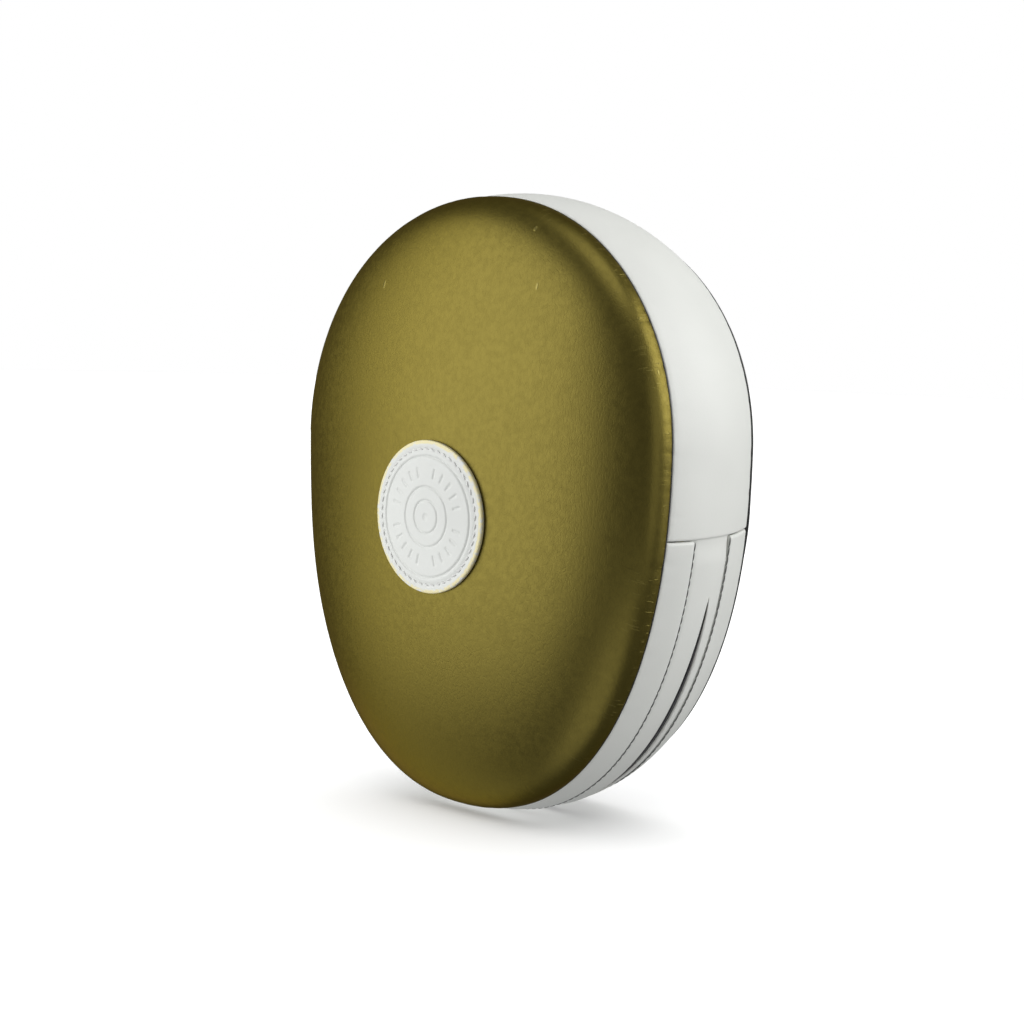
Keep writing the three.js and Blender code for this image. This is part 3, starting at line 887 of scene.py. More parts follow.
def make_badge():
    """A round leather badge with a cut edge, sewn on with a ring of thread."""
    flat_radius = BADGE_RADIUS - BADGE_CUT
    rounding = flat_radius + BADGE_CUT * np.sin(np.linspace(0.25, 1, 5) * np.pi / 2)
    rings = np.concatenate([np.linspace(0, flat_radius, 108), rounding])
    turn = np.linspace(0, 2 * np.pi, 288, endpoint=False)
    distance, angle = np.meshgrid(rings, turn, indexing="xy")
    edge = np.clip((distance - flat_radius) / BADGE_CUT, 0, 1)
    dome = 0.12 * (1 - (distance / BADGE_RADIUS) ** 2)
    height = BADGE_TOP - 0.25 + dome - badge_relief(distance, angle) - 0.5 * (1 - np.sqrt(1 - edge**2 * 0.98))
    top, _ = on_dome(distance, angle, height)
    under, _ = on_dome(distance[:, ::-1], angle[:, ::-1], np.full(distance.shape, 0.25))
    points = np.concatenate([top, under], axis=1)
    rows, columns = points.shape[:2]
    piece = make_piece("badge_disc", points, quads(rows, columns, wrap_rows=True), badge_leather)
    at = points_of(piece)
    from_middle = np.hypot(at[:, 0], at[:, 2] - BADGE_Z)
    paint(piece, "wear", np.clip((from_middle - BADGE_RADIUS + 1.5) / 0.6, 0, 1) * 2)
    attach(piece, "badge_leather", "pad", "badge")

    turn = np.linspace(0, 2 * np.pi, 400)
    path, out = on_dome(np.full(400, THREAD_RING), turn, np.full(400, BADGE_TOP - 0.42))
    ring = stitch_row("badge_stitches", path, out, white_thread, length=2.5, pitch=3.3, radius=0.34, slant=0.6)
    attach(ring, "thread", "pad", "badge_thread")


# ---- Side wall -----------------------------------------------------------------------------------------------
FRONT_EDGE_Y = FACE_SEAM_Y - 0.05
REAR_EDGE_Y = BACK_SEAM_Y - 0.7
WALL_LEATHER = 1.9
CUT = 0.25  # from the cross seam's level to each side of it


def wall_dents(angle, y):
    """Faint puckers at the wall's two sewn edges, and the unevenness of leather over padding."""
    front = puckers(WALL_PUCKERS, angle, y - FRONT_EDGE_Y, 4.5)
    rear = puckers(WALL_PUCKERS[::-1], angle, REAR_EDGE_Y - y, 4.0)
    along = seam_distance(angle)
    uneven = 0.22 * np.sin(along / 31 + 0.12 * y) * np.sin(along / 53 + 2 + 0.05 * y)
    return front + rear * 0.8 + uneven


def make_wall():
    """The wall above the cross seam, and the front and rear strips below it."""
    for name, node, y0, y1, corner, steps, upper, body in (
        ("wall_upper_leather", "wall_upper", FRONT_EDGE_Y, REAR_EDGE_Y, 0.55, 30, True, "pad"),
        ("wall_front_strip", "wall_lower_front", FRONT_EDGE_Y, FRONT_STRIP_END_Y, 0.5, 12, False, "pad"),
        ("wall_rear_strip", "wall_lower_rear", REAR_STRIP_START_Y, REAR_EDGE_Y, 0.5, 14, False, ACROSS_HINGE),
    ):
        outline = strip_outline(y0, y1, WALL_LEATHER, corner, steps)
        piece = wall_band(name, outline, FLEX_Z + (CUT if upper else -CUT), upper, white_leather, wall_dents)
        at = points_of(piece)
        edge = np.minimum(at[:, 1] - FRONT_EDGE_Y, REAR_EDGE_Y - at[:, 1])
        paint(piece, "wear", np.clip(1 - edge / 1.2, 0, 1) * 0.5)
        attach(piece, "wall_leather", body, node)


def slit_half(z):
    """Half the slit's width at a height. The lips swell towards each other where it is widest."""
    half = SLIT_WIDTH / 2 * np.clip(1 - z / SLIT_TOP_Z, 0, 1) ** 0.62
    return SLIT_LIMIT * np.tanh(half / SLIT_LIMIT)


def facing_half(z):
    """Half the gap between the two facings, which nearly meet behind the slit."""
    return 0.45 * np.clip((SLIT_TOP_Z + 4 - z) / 2, 0, 1)


def mouth_sheet(name, material, depth, half_at, top_z, edges, lip, tuck):
    """The leather or lining between the front and rear strips, with the slit through its middle. half_at gives
    half the slit's width at a height, edges gives the depth of the long edge of each half (-1 front, 1 rear), lip
    is how far the slit's lips roll in, and tuck gives where the sheet's top starts to sink, how gently and how
    far."""
    tuck_z, tuck_length, tuck_depth = tuck
    across = crowded_ends(18, 1.5)
    roll = np.linspace(0, 1, 6)[1:]
    rows = 300
    share = crowded_ends(rows, 1.3)
    parts, faces = [], []
    for side, edge in edges.items():
        radius = wall_radius(SLIT_Y) - depth
        start = angle_at_height(np.array(radius), top_z)
        angle = start - share * (np.pi + 2 * start)
        z = egg_point(radius, angle, SLIT_Y)[:, 2]
        half = half_at(z)
        bend = lip * np.clip(half / 1.2, 0, 1)
        lip_y = SLIT_Y + side * (half + bend)
        y = edge + (lip_y[:, None] - edge) * across[None, :]
        under = np.clip(1 - np.abs(y - edge) / 5.5, 0, 1)
        sunk = np.clip((z - tuck_z) / tuck_length, 0, 1)
        inset = depth + 1.6 * under**2 * (3 - 2 * under) + (tuck_depth * sunk**2 * (3 - 2 * sunk))[:, None]
        swell = 0.4 * np.clip(1 - np.abs(y - lip_y[:, None]) / 5, 0, 1) * (bend / lip)[:, None]
        inset = inset - swell
        turned = roll * np.pi * 0.62
        lip_ys = lip_y[:, None] - side * bend[:, None] * np.sin(turned)[None, :]
        lip_in = inset[:, -1:] + bend[:, None] * (1 - np.cos(turned))[None, :] * 1.15
        y_all = np.concatenate([y, lip_ys], axis=1)
        inset_all = np.concatenate([inset, lip_in], axis=1)
        points = egg_point(wall_radius(y_all) - inset_all, np.broadcast_to(angle[:, None], y_all.shape), y_all)
        base = sum(p.shape[0] * p.shape[1] for p in parts)
        faces += quads(*y_all.shape, start=base)
        parts.append(points)
    points = np.concatenate([p.reshape(-1, 3) for p in parts])
    uv = np.stack([seam_distance(np.arctan2(points[:, 2] - WIDEST_Z, points[:, 0])), points[:, 1]], axis=-1)
    return make_piece(name, points, faces, material, uv, weld=0.03)


def make_mouth():
    leather_sheet = mouth_sheet(
        "mouth_strip",
        white_leather,
        depth=0.35,
        half_at=slit_half,
        top_z=FLEX_Z + 14,
        edges={-1: FRONT_STRIP_END_Y - 3, 1: REAR_STRIP_START_Y + 3},
        lip=0.6,
        tuck=(FLEX_Z - 9, 8, 0.65),
    )
    thicken(leather_sheet, 0.5, 0.15)
    at = points_of(leather_sheet)
    near = np.abs(at[:, 1] - SLIT_Y) - slit_half(at[:, 2])
    paint(leather_sheet, "wear", np.clip(1 - near / 1.5, 0, 1) * (at[:, 2] < SLIT_TOP_Z) * 0.6)
    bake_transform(leather_sheet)
    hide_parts("mouth_strip_front", "mouth_strip_rear")

    for half, side, edge, body in (
        ("mouth_facing_front", -1, PALM_Y + 0.6, "pad"),
        ("mouth_facing_rear", 1, REAR_STRIP_START_Y - 2.2, ACROSS_HINGE),
    ):
        facing = mouth_sheet(
            half,
            dark_lining,
            depth=1.0,
            half_at=facing_half,
            top_z=SLIT_TOP_Z + 5,
            edges={side: edge},
            lip=0.3,
            tuck=(SLIT_TOP_Z - 16, 14, 1.8),
        )
        thicken(facing, 0.7, 0.15)
        attach(facing, "lining_fabric", body, half)


def make_wall_seams():
    """Thread that lies in the two long seams of the lower wall."""
    start = float(angle_at_height(np.array(wall_radius(10.0)), FLEX_Z - 0.4))
    angles = np.linspace(start, -np.pi - start, 900)
    for name, y, body in (
        ("front_seam_stitches", FRONT_STRIP_END_Y + 0.3, "pad"),
        ("rear_seam_stitches", REAR_STRIP_START_Y - 0.3, ACROSS_HINGE),
    ):
        path, out = wall_line(y, -0.2, angles)
        row = stitch_row(name, path, out, seam_thread, length=3.6, pitch=3.5, radius=0.27, slant=0.3)
        attach(row, "thread", body)


def rear_cord_stands_out(angle):
    """How far the rear cord stands out: most at the two ends of the cross seam, less above and below."""
    z = egg_point(wall_radius(BACK_SEAM_Y), angle, BACK_SEAM_Y)[..., 2]
    high = np.clip((z - 100) / 8, 0, 1) * np.clip((208 - z) / 14, 0, 1)
    return 1.2 * high + 0.35 * np.exp(-(((z - FLEX_Z - 4) / 9) ** 2))


def make_piping():
    front_y = (RIM_Y + FRONT_EDGE_Y) / 2
    front = cord_loop("front_piping_cord", NOMINAL - 0.6, front_y, 0.55, piping_leather)
    attach(front, "black_leather", "pad", "front_piping")
    radius = wall_radius(BACK_SEAM_Y) - 1.6
    rear = cord_loop("rear_piping_cord", radius, BACK_SEAM_Y, 0.65, piping_leather, rear_cord_stands_out)
    attach(rear, "black_leather", ACROSS_HINGE, "rear_piping_upper", "rear_piping_lower")


# ---- Inside the pad ------------------------------------------------------------------------------------------
def spread(low, high, step):
    """Evenly spread values that are about step apart."""
    return list(np.linspace(low, high, max(2, int(round(abs(high - low) / step)) + 1)))


def layer_profile(y0, y1, inset, corner):
    """The half section of a flat layer that fills the wall, with rounded edges, from axis to axis."""
    r0, r1 = wall_radius(y0) - inset, wall_radius(y1) - inset
    low = [(r, y0) for r in spread(0, r0 - corner, 9)]
    low += corner_arc((r0 - corner, y0 + corner), corner, -90, 0)[1:]
    side = [(wall_radius(y) - inset, y) for y in spread(y0 + corner, y1 - corner, 4)][1:-1]
    high = corner_arc((r1 - corner, y1 - corner), corner, 0, 90)
    high += [(r, y1) for r in spread(r1 - corner, 0, 9)[1:]]
    return low + side + high


def cut_level(piece, z, keep_above, edge):
    """Keeps the part of a mesh above or below a level. An edge above 0 closes the cut and rounds it off."""
    bm = bmesh.new()
    bm.from_mesh(piece.data)
    bmesh.ops.bisect_plane(
        bm,
        geom=bm.verts[:] + bm.edges[:] + bm.faces[:],
        plane_co=(0, 0, z * MM),
        plane_no=(0, 0, 1),
        clear_inner=keep_above,
        clear_outer=not keep_above,
    )
    if edge > 0:
        bmesh.ops.holes_fill(bm, edges=[e for e in bm.edges if e.is_boundary])
        bmesh.ops.recalc_face_normals(bm, faces=bm.faces)
    bm.to_mesh(piece.data)
    bm.free()
    if edge > 0:
        round_edges(piece, edge)
    shade_smooth(piece.data)


def node_depths(node, shave=0.0):
    """A CAD node's front and back, less a little at each."""
    low, high = cad_box(node)
    return low[1] + shave, high[1] - shave


LAYER_INSET = 2.7
DOME_INSET = 2.2


def liner_ripples(angle, y):
    return 0.25 * np.sin(seam_distance(angle) / 3.2) * np.cos(y / 3.0)


def make_pad_layers():
    """The foam under the face and the layers behind it, and the padded liner round the fingers."""
    rim = NOMINAL - DOME_INSET
    shares = np.sin(np.linspace(0, 1, 26) * np.pi / 2)
    dome = [(q * rim, crown_y(q, CROWN - DOME_INSET)) for q in shares]
    back = node_depths("face_foam")[1]
    flat = [(rim - 0.5, back - 0.5), (rim - 1, back)] + [(r, back) for r in spread(rim - 4, 0, 9)]
    foam_block = lathe("face_foam_block", dome + flat, soft_foam)
    attach(foam_block, "soft_foam", "pad", "face_foam", fill=1.0)

    for name, node, material, slot, corner, fill in (
        ("core_foam_block", "core_foam", firm_foam, "firm_foam", 0.8, 1.0),
        ("base_foam_block", "base_foam", soft_foam, "soft_foam", 0.8, 1.0),
        ("stiffening_board", "backing_board", board, "board", 0.3, None),
        ("palm_lining_panel", "palm_panel", spacer_mesh, "lining_fabric", 0.6, None),
    ):
        piece = lathe(name, layer_profile(*node_depths(node), LAYER_INSET, corner), material)
        attach(piece, slot, "pad", node, fill=fill)

    outline = strip_outline(*node_depths("wall_liner", 0.1), 2.3, 0.8, 12)
    liner = wall_band("finger_space_liner", outline, FLEX_Z + 16, True, spacer_mesh, liner_ripples, depth=2.75)
    attach(liner, "lining_fabric", "pad", "wall_liner", fill=0.9)


# ---- What the hand holds -------------------------------------------------------------------------------------
def make_grip():
    """An oval leather pad across the palm, sewn down round its foot, with a seam along its top."""
    low, high = cad_box("palm_grip")
    a, height, c = (high[0] - low[0]) / 2, high[1] - low[1], (high[2] - low[2]) / 2
    middle_z = (low[2] + high[2]) / 2
    turn = np.linspace(0, 2 * np.pi, 120, endpoint=False)
    rise = np.concatenate([np.linspace(0, np.pi / 2, 30), [np.pi / 2]])
    t, e = np.meshgrid(turn, rise, indexing="ij")
    reach = np.cos(e) ** 0.8
    x, z = a * reach * np.cos(t), c * reach * np.sin(t)
    y = low[1] + 0.25 + (height - 0.4) * np.sin(e) ** 0.9
    seam = np.exp(-((z / 1.1) ** 2)) * np.clip(1 - np.abs(x) / (a * 0.93), 0, 1) ** 0.3
    gathers = 0.3 * np.sin(t * 26 + np.sin(t * 5)) * np.exp(-((e / 0.35) ** 2))
    y = y - seam * 1.0
    x, z = x * (1 - gathers / a), z * (1 - gathers / c)
    top = np.stack([x, y, z + middle_z], axis=-1)
    foot_scale = np.linspace(1, 0, 6)[1:]
    foot = np.stack(
        [
            a * foot_scale[None, :] * np.cos(turn)[:, None],
            np.full((120, 5), low[1]),
            middle_z + c * foot_scale[None, :] * np.sin(turn)[:, None],
        ],
        axis=-1,
    )
    points = np.concatenate([top[:, ::-1], foot], axis=1)
    grip = make_piece("palm_grip_pad", points, quads(*points.shape[:2], wrap_rows=True), black_leather)
    paint(grip, "wear", np.clip((points_of(grip)[:, 1] - low[1]) / height - 0.6, 0, 1))
    attach(grip, "black_leather", "pad", "palm_grip", fill=0.95)
    run = np.linspace(-a * 0.8, a * 0.8, 60)
    crest = low[1] + (height - 0.4) * np.clip(1 - (run / a) ** 2, 0, 1) ** 0.4 - 0.25
    out = np.stack([run / a * 0.5, np.ones(60), np.zeros(60)], axis=-1)
    for side, offset in (("low", -2.6), ("high", 2.6)):
        path = np.stack([run, crest, np.full(60, middle_z + offset)], axis=-1)
        attach(stitch_row(f"palm_grip_stitches_{side}", path, out, grey_thread), "thread", "pad")


def arch_path(half_span, height, foot):
    """A webbing loop's middle line as (x, y) points: out along one foot, over the arch and along the other."""
    turn = np.linspace(0, np.pi, 60)
    across = np.sign(np.cos(turn)) * np.abs(np.cos(turn)) ** 0.6
    arch = np.stack([half_span * across, height * np.sin(turn) ** 0.6], axis=-1)
    right = [(half_span + d, 0) for d in np.linspace(foot, 1.0, 5)]
    left = [(-half_span - d, 0) for d in np.linspace(1.0, foot, 5)]
    return np.array(right + arch[2:-2].tolist() + left)


def ribbon(name, path, z0, z1, thickness, material, edge=0.5):
    """Webbing that follows a path of (x, y) points, with its width along Z and rounded edges."""
    fine = lengths_along(path)
    at = np.linspace(0, fine[-1], max(24, int(fine[-1] / 1.4)))
    line = np.stack([np.interp(at, fine, path[:, k]) for k in (0, 1)], axis=-1)
    for _ in range(3):
        line[1:-1] = (line[:-2] + 2 * line[1:-1] + line[2:]) / 4
    run = np.gradient(line, axis=0)
    run /= np.linalg.norm(run, axis=1, keepdims=True)
    out = np.stack([-run[:, 1], run[:, 0]], axis=-1)
    half = thickness / 2
    across = np.linspace(z0 + edge, z1 - edge, max(6, int((z1 - z0) / 1.5)))
    section = [(half, z) for z in across]
    section += [(h, z) for z, h in corner_arc((z1 - edge, half - edge), edge, 90, 0, 4)[1:]]
    section += [(h, z) for z, h in corner_arc((z1 - edge, -half + edge), edge, 0, -90, 4)]
    section += [(-half, z) for z in across[::-1][1:]]
    section += [(h, z) for z, h in corner_arc((z0 + edge, -half + edge), edge, -90, -180, 4)[1:]]
    section += [(h, z) for z, h in corner_arc((z0 + edge, half - edge), edge, 180, 90, 4)[:-1]]
    section = np.array(section)
    edge_share = np.minimum(section[:, 1] - z0, z1 - section[:, 1])
    selvedge = 0.06 * np.cos(at[:, None] * 2 * np.pi / 2.2) * np.exp(-edge_share / 1.2)[None, :]
    h = section[None, :, 0] * (1 + selvedge / half)
    x = line[:, None, 0] + out[:, None, 0] * h
    y = line[:, None, 1] + out[:, None, 1] * h
    z = np.broadcast_to(section[None, :, 1], x.shape)
    points = np.stack([x, y, z], axis=-1)
    rows, columns = x.shape
    faces = quads(rows, columns, wrap_columns=True) + end_caps(rows, columns)
    uv = np.stack(np.broadcast_arrays(at[:, None], section[None, :, 1]), axis=-1)
    return make_piece(name, points, faces, material, uv)


def box_stitch(name, x0, x1, z0, z1, y, material, crossed=True):
    """A rectangle of stitches, crossed from corner to corner, on a face that looks along +Y."""
    corners = [(x0, z0), (x1, z0), (x1, z1), (x0, z1), (x0, z0)]
    runs = [corners]
    if crossed:
        runs += [[(x0, z0), (x1, z1)], [(x0, z1), (x1, z0)]]
    made = []
    for number, run in enumerate(runs):
        dense = []
        for (xa, za), (xb, zb) in zip(run[:-1], run[1:]):
            for share in np.linspace(0, 1, 20):
                dense.append((xa + (xb - xa) * share, y, za + (zb - za) * share))
        out = np.tile([0.0, 1.0, 0.0], (len(dense), 1))
        made.append(stitch_row(f"{name}_{number}", dense, out, material, length=2.3, pitch=2.9, radius=0.2))
    return join(name, made)


def join(name, pieces):
    """Joins meshes of one material into one object."""
    bm = bmesh.new()
    for piece in pieces:
        bm.from_mesh(piece.data)
    mesh = bpy.data.meshes.new(name)
    bm.to_mesh(mesh)
    bm.free()
    shade_smooth(mesh)
    mesh.materials.append(pieces[0].data.materials[0])
    for piece in pieces:
        bpy.data.objects.remove(piece)
    return add_object(name, mesh)


def make_loops():
    """The finger band and the thumb loop, each sewn down at its two feet."""
    for name, thickness, foot in (("finger_band", 1.6, 9), ("thumb_loop", 1.4, 5)):
        low, high = cad_box(name)
        middle = (low[0] + high[0]) / 2
        half_span = (high[0] - low[0]) / 2 - foot - thickness / 2
        path = arch_path(half_span, high[1] - low[1] - thickness, foot)
        path += [middle, low[1] + thickness / 2]
        band = ribbon(f"{name}_webbing", path, low[2], high[2], thickness, black_webbing)
        attach(band, "black_webbing", "pad", name)
        top = low[1] + thickness + 0.05
        feet = []
        for side in (-1, 1):
            x0, x1 = sorted((middle + side * (half_span + 1.8), middle + side * (half_span + foot - 1.2)))
            sewn = box_stitch(f"{name}_foot", x0, x1, low[2] + 1.8, high[2] - 1.8, top, grey_thread, crossed=False)
            feet.append(sewn)
        attach(join(f"{name}_stitches", feet), "thread", "pad")


# ---- Back cover ----------------------------------------------------------------------------------------------
BACK_RIM = wall_radius(BACK_SEAM_Y) - 0.3
RIM_CHANNEL = 88  # nominal radius of the quilting line that follows the cover's outline
CHANNEL_DEPTH = 1.5
QUILT_LEVELS = (143, 181)  # heights of the two quilting lines across the fingers
BACK_SHEET = 1.2
FLAP_EDGE = 1.6
ELASTIC_LOW, ELASTIC_HIGH = cad_box("flap_elastic")
ELASTIC_LENGTH = 80
ELASTIC_FOOT = 13  # half the elastic insert's width at its foot
ELASTIC_TAPER = 5  # how much less that is at its top


def back_y(radius):
    """Depth of the back cover's smooth surface at a nominal radius."""
    stations = [0, 78, 90, 98, 101.2, 102.6, BACK_RIM]
    depths = [BACK_FLAT_Y - fall for fall in (0, 0, 0.3, 0.8, 1.2, 1.7)] + [BACK_SEAM_Y + 0.9]
    return np.interp(radius, stations, depths)


def quilt_line(level, x):
    """Height of a quilting line across the fingers, which bows up in the middle."""
    return level + 5 * (1 - (x / 70) ** 2)


def quilting(x, z, radius):
    """Distance to the nearest quilting line of the back cover."""
    rim = np.abs(radius - RIM_CHANNEL)
    inside = radius < RIM_CHANNEL
    lines = [rim, np.abs(z - FLEX_Z) + 0.2]
    for level in QUILT_LEVELS:
        lines.append(np.where(inside, np.abs(z - quilt_line(level, x)), 99))
    return np.minimum.reduce(lines)


def elastic_half(z):
    """Half the elastic insert's width at a height."""
    share = np.clip((z - ELASTIC_LOW[2]) / (ELASTIC_HIGH[2] - ELASTIC_LOW[2]), 0, 1)
    return ELASTIC_FOOT - ELASTIC_TAPER * share


def elastic_gap(at):
    """Distance from points on the flap to the elastic insert's outline, outside it."""
    beside = np.maximum(np.abs(at[:, 0]) - elastic_half(at[:, 2]), 0)
    beyond = np.maximum(np.maximum(ELASTIC_LOW[2] - at[:, 2], at[:, 2] - ELASTIC_HIGH[2]), 0)
    return np.hypot(beside, beyond)


def open_for_elastic(sheet):
    """Cuts the elastic insert's outline out of the flap's sheet."""
    bottom, top = ELASTIC_LOW[2], ELASTIC_HIGH[2]
    cuts = []
    for side in (-1, 1):
        foot = (side * ELASTIC_FOOT * MM, 0, bottom * MM)
        cuts.append((foot, Vector((side * ELASTIC_LENGTH, 0, ELASTIC_TAPER)).normalized()))
    cuts += [((0, 0, level * MM), (0, 0, 1)) for level in (bottom, top)]
    bm = bmesh.new()
    bm.from_mesh(sheet.data)
    for place, out in cuts:
        bmesh.ops.bisect_plane(bm, geom=bm.verts[:] + bm.edges[:] + bm.faces[:], plane_co=place, plane_no=out)
    gone = []
    for face in bm.faces:
        middle = face.calc_center_median() / MM
        if abs(middle.x) < float(elastic_half(middle.z)) and bottom < middle.z < top:
            gone.append(face)
    bmesh.ops.delete(bm, geom=gone, context="FACES")
    bmesh.ops.remove_doubles(bm, verts=bm.verts, dist=0.15 * MM)
    bm.to_mesh(sheet.data)
    bm.free()


def face_the_back(sheet):
    """Turns a sheet's faces towards the mitt's back."""
    if sum(normals_of(sheet)[:, 1]) < 0:
        sheet.data.flip_normals()


def back_sheet(name, upper):
    """One half of the padded back cover, blown up over its foam between the quilting lines."""
    share, angle, faces, _ = disc_grid(110)
    points = egg_point(share * BACK_RIM, angle, 0.0)
    radius = share * BACK_RIM
    points[:, 1] = back_y(radius) - CHANNEL_DEPTH * 0.6 * np.clip((BACK_RIM - radius) / 6, 0, 1)
    sheet = make_piece(name, points, faces, black_leather, points[:, [0, 2]])
    cut_level(sheet, FLEX_Z + (0.12 if upper else -0.12), upper, edge=0)
    if not upper:
        open_for_elastic(sheet)
    at = points_of(sheet)
    radius, _ = nominal_radius(at[:, 0], at[:, 2])
    face_the_back(sheet)
    line = quilting(at[:, 0], at[:, 2], radius)
    opening = np.full(len(at), 99.0) if upper else elastic_gap(at)
    edges = np.minimum(BACK_RIM - radius, np.minimum(np.abs(at[:, 2] - FLEX_Z), opening))
    pinned = (line < 1.2) | (edges < 1.2)
    puff(sheet, pinned, pressure=4.0, slack=0.03, reach=1.6)
    at = points_of(sheet)
    at[:, 1] = np.minimum(at[:, 1], BACK_FLAT_Y)
    pressed = CHANNEL_DEPTH * 0.55 * np.exp(-((line / 1.5) ** 2))
    rolled = FLAP_EDGE * np.clip(1 - edges / 2.2, 0, 1) ** 2 * (np.abs(radius - BACK_RIM) > 3)
    gathers = 0.16 * np.sin(at[:, 0] / 1.7 + at[:, 2] / 2.3) * np.exp(-((line / 4) ** 2))
    at[:, 1] -= pressed + rolled + gathers * (line > 1)
    move_points(sheet, at)
    thicken(sheet, BACK_SHEET, 0.35)
    subdivide(sheet)
    at = points_of(sheet)
    near = quilting(at[:, 0], at[:, 2], nominal_radius(at[:, 0], at[:, 2])[0])
    crest = np.clip((at[:, 1] - BACK_FLAT_Y + 0.25) / 0.25, 0, 1)
    paint(sheet, "wear", np.clip(1 - near / 3, 0, 1) * 0.25 + crest * 0.3)
    return sheet


def make_back_cover():
    """The padded cover above the cross seam and the wrist flap below it, each with its foam and lining."""
    upper = back_sheet("back_cover_upper", True)
    attach(upper, "black_leather", "pad", "back_panel_upper", fill=0.9)
    lower = back_sheet("wrist_flap_cover", False)
    attach(lower, "black_leather", ACROSS_HINGE, "flap_panel", fill=0.9)

    foam_start = node_depths("back_foam_upper")[0]
    top = BACK_FLAT_Y - 3.2
    side = [(wall_radius(y) - LAYER_INSET, y) for y in spread(foam_start + 0.8, 36, 3)]
    profile = [(r, foam_start) for r in spread(0, side[0][0] - 0.8, 9)] + side
    profile += [(98, top - 0.9), (94, top - 0.2)] + [(r, top) for r in spread(88, 0, 9)]
    lining_profile = layer_profile(*node_depths("back_lining_upper"), LAYER_INSET, 0.4)
    for name, node, section, material, slot, away, edge, fill in (
        ("back_foam", "back_foam_upper", profile, soft_foam, "soft_foam", 0.3, 0.6, 1.0),
        ("wrist_flap_foam", "flap_foam", profile, soft_foam, "soft_foam", -0.3, 0.6, 1.0),
        ("back_lining", "back_lining_upper", lining_profile, spacer_mesh, "lining_fabric", 0.2, 0.3, None),
        ("wrist_flap_lining", "flap_lining", lining_profile, spacer_mesh, "lining_fabric", -0.2, 0.3, None),
    ):
        layer = lathe(name, section, material)
        cut_level(layer, FLEX_Z + away, away > 0, edge)
        attach(layer, slot, "pad" if away > 0 else ACROSS_HINGE, node, fill=fill)
    return upper, lower


def make_elastic():
    """Ribbed elastic let into the flap: its ribs run up and down, and it is gathered a little between them."""
    z = np.linspace(ELASTIC_LOW[2] - 2.5, ELASTIC_HIGH[2] + 2.5, 130)
    zz, s = np.meshgrid(z, np.linspace(-1, 1, 121), indexing="ij")
    half = elastic_half(zz) + 2.0
    x = s * half
    radius, _ = nominal_radius(x, zz)
    ribs = 0.34 * (0.5 + 0.5 * np.cos(s * np.pi * 15))
    crimps = 0.12 * np.sin(zz * 2 * np.pi / 2.6) * (0.5 - 0.5 * np.cos(s * np.pi * 15))
    tuck = 1.0 * np.clip((np.abs(x) - (half - 3.0)) / 3.0, 0, 1) ** 2
    top = back_y(radius) - 1.0 + ribs + crimps - tuck
    points = np.stack([x, top, zz], axis=-1)
    sheet = make_piece("flap_elastic_insert", points, quads(*x.shape), black_webbing, points[..., [0, 2]])
    face_the_back(sheet)
    thicken(sheet, 0.9, 0.2)
    attach(sheet, "black_webbing", ACROSS_HINGE, "flap_elastic")


def back_line(cover, x, z):
    """A row of stitches that lies on the back cover's real surface, along places given by x and z."""
    tree = BVHTree.FromPolygons(
        [tuple(point) for point in points_of(cover)],
        [tuple(face.vertices) for face in cover.data.polygons],
    )
    y = []
    for px, pz in zip(x, z):
        hit = tree.ray_cast(Vector((px, BACK_FLAT_Y + 20, pz)), Vector((0, -1, 0)))[0]
        y.append(hit.y if hit is not None and hit.y > BACK_FLAT_Y - 6 else BACK_FLAT_Y - 2)
    y = np.array(y)
    for _ in range(3):
        y[1:-1] = (y[:-2] + 2 * y[1:-1] + y[2:]) / 4
    path = np.stack([x, y + 0.08, z], axis=-1)
    out = np.tile([0.0, 1.0, 0.0], (len(x), 1))
    return stitch_row("back_line", path, out, grey_thread, length=2.9, pitch=3.6, radius=0.22)


def make_back_stitches(upper, lower):
    """Thread along the quilting lines, both sides of the cross seam and the elastic insert's sides."""
    start = float(angle_at_height(np.array(RIM_CHANNEL), FLEX_Z + 3))
    rim = egg_point(RIM_CHANNEL, np.linspace(start, np.pi - start, 500), 0.0)
    rows = [back_line(upper, rim[:, 0], rim[:, 2])]
    for level in QUILT_LEVELS:
        half = 80.0
        for _ in range(20):
            edge_radius, _ = nominal_radius(np.array([half]), np.array([quilt_line(level, half)]))
            half -= (edge_radius[0] - RIM_CHANNEL + 1.5) * 0.6
        x = np.linspace(-half, half, 200)
        rows.append(back_line(upper, x, quilt_line(level, x)))
    half = float(egg_point(BACK_RIM - 2, start, 0.0)[0])
    x = np.linspace(-half, half, 300)
    rows.append(back_line(upper, x, np.full(300, FLEX_Z + 3.2)))
    attach(join("back_cover_stitches", rows), "thread", "pad")

    start = float(angle_at_height(np.array(RIM_CHANNEL), FLEX_Z - 3))
    rim = egg_point(RIM_CHANNEL, np.linspace(start, -np.pi - start, 500), 0.0)
    rows = [back_line(lower, rim[:, 0], rim[:, 2])]
    rows.append(back_line(lower, x, np.full(300, FLEX_Z - 3.2)))
    z = np.linspace(ELASTIC_LOW[2] + 1, ELASTIC_HIGH[2] - 1, 160)
    for side in (-1, 1):
        rows.append(back_line(lower, side * (elastic_half(z) + 3.2), z))
    attach(join("wrist_flap_stitches", rows), "thread", ACROSS_HINGE)


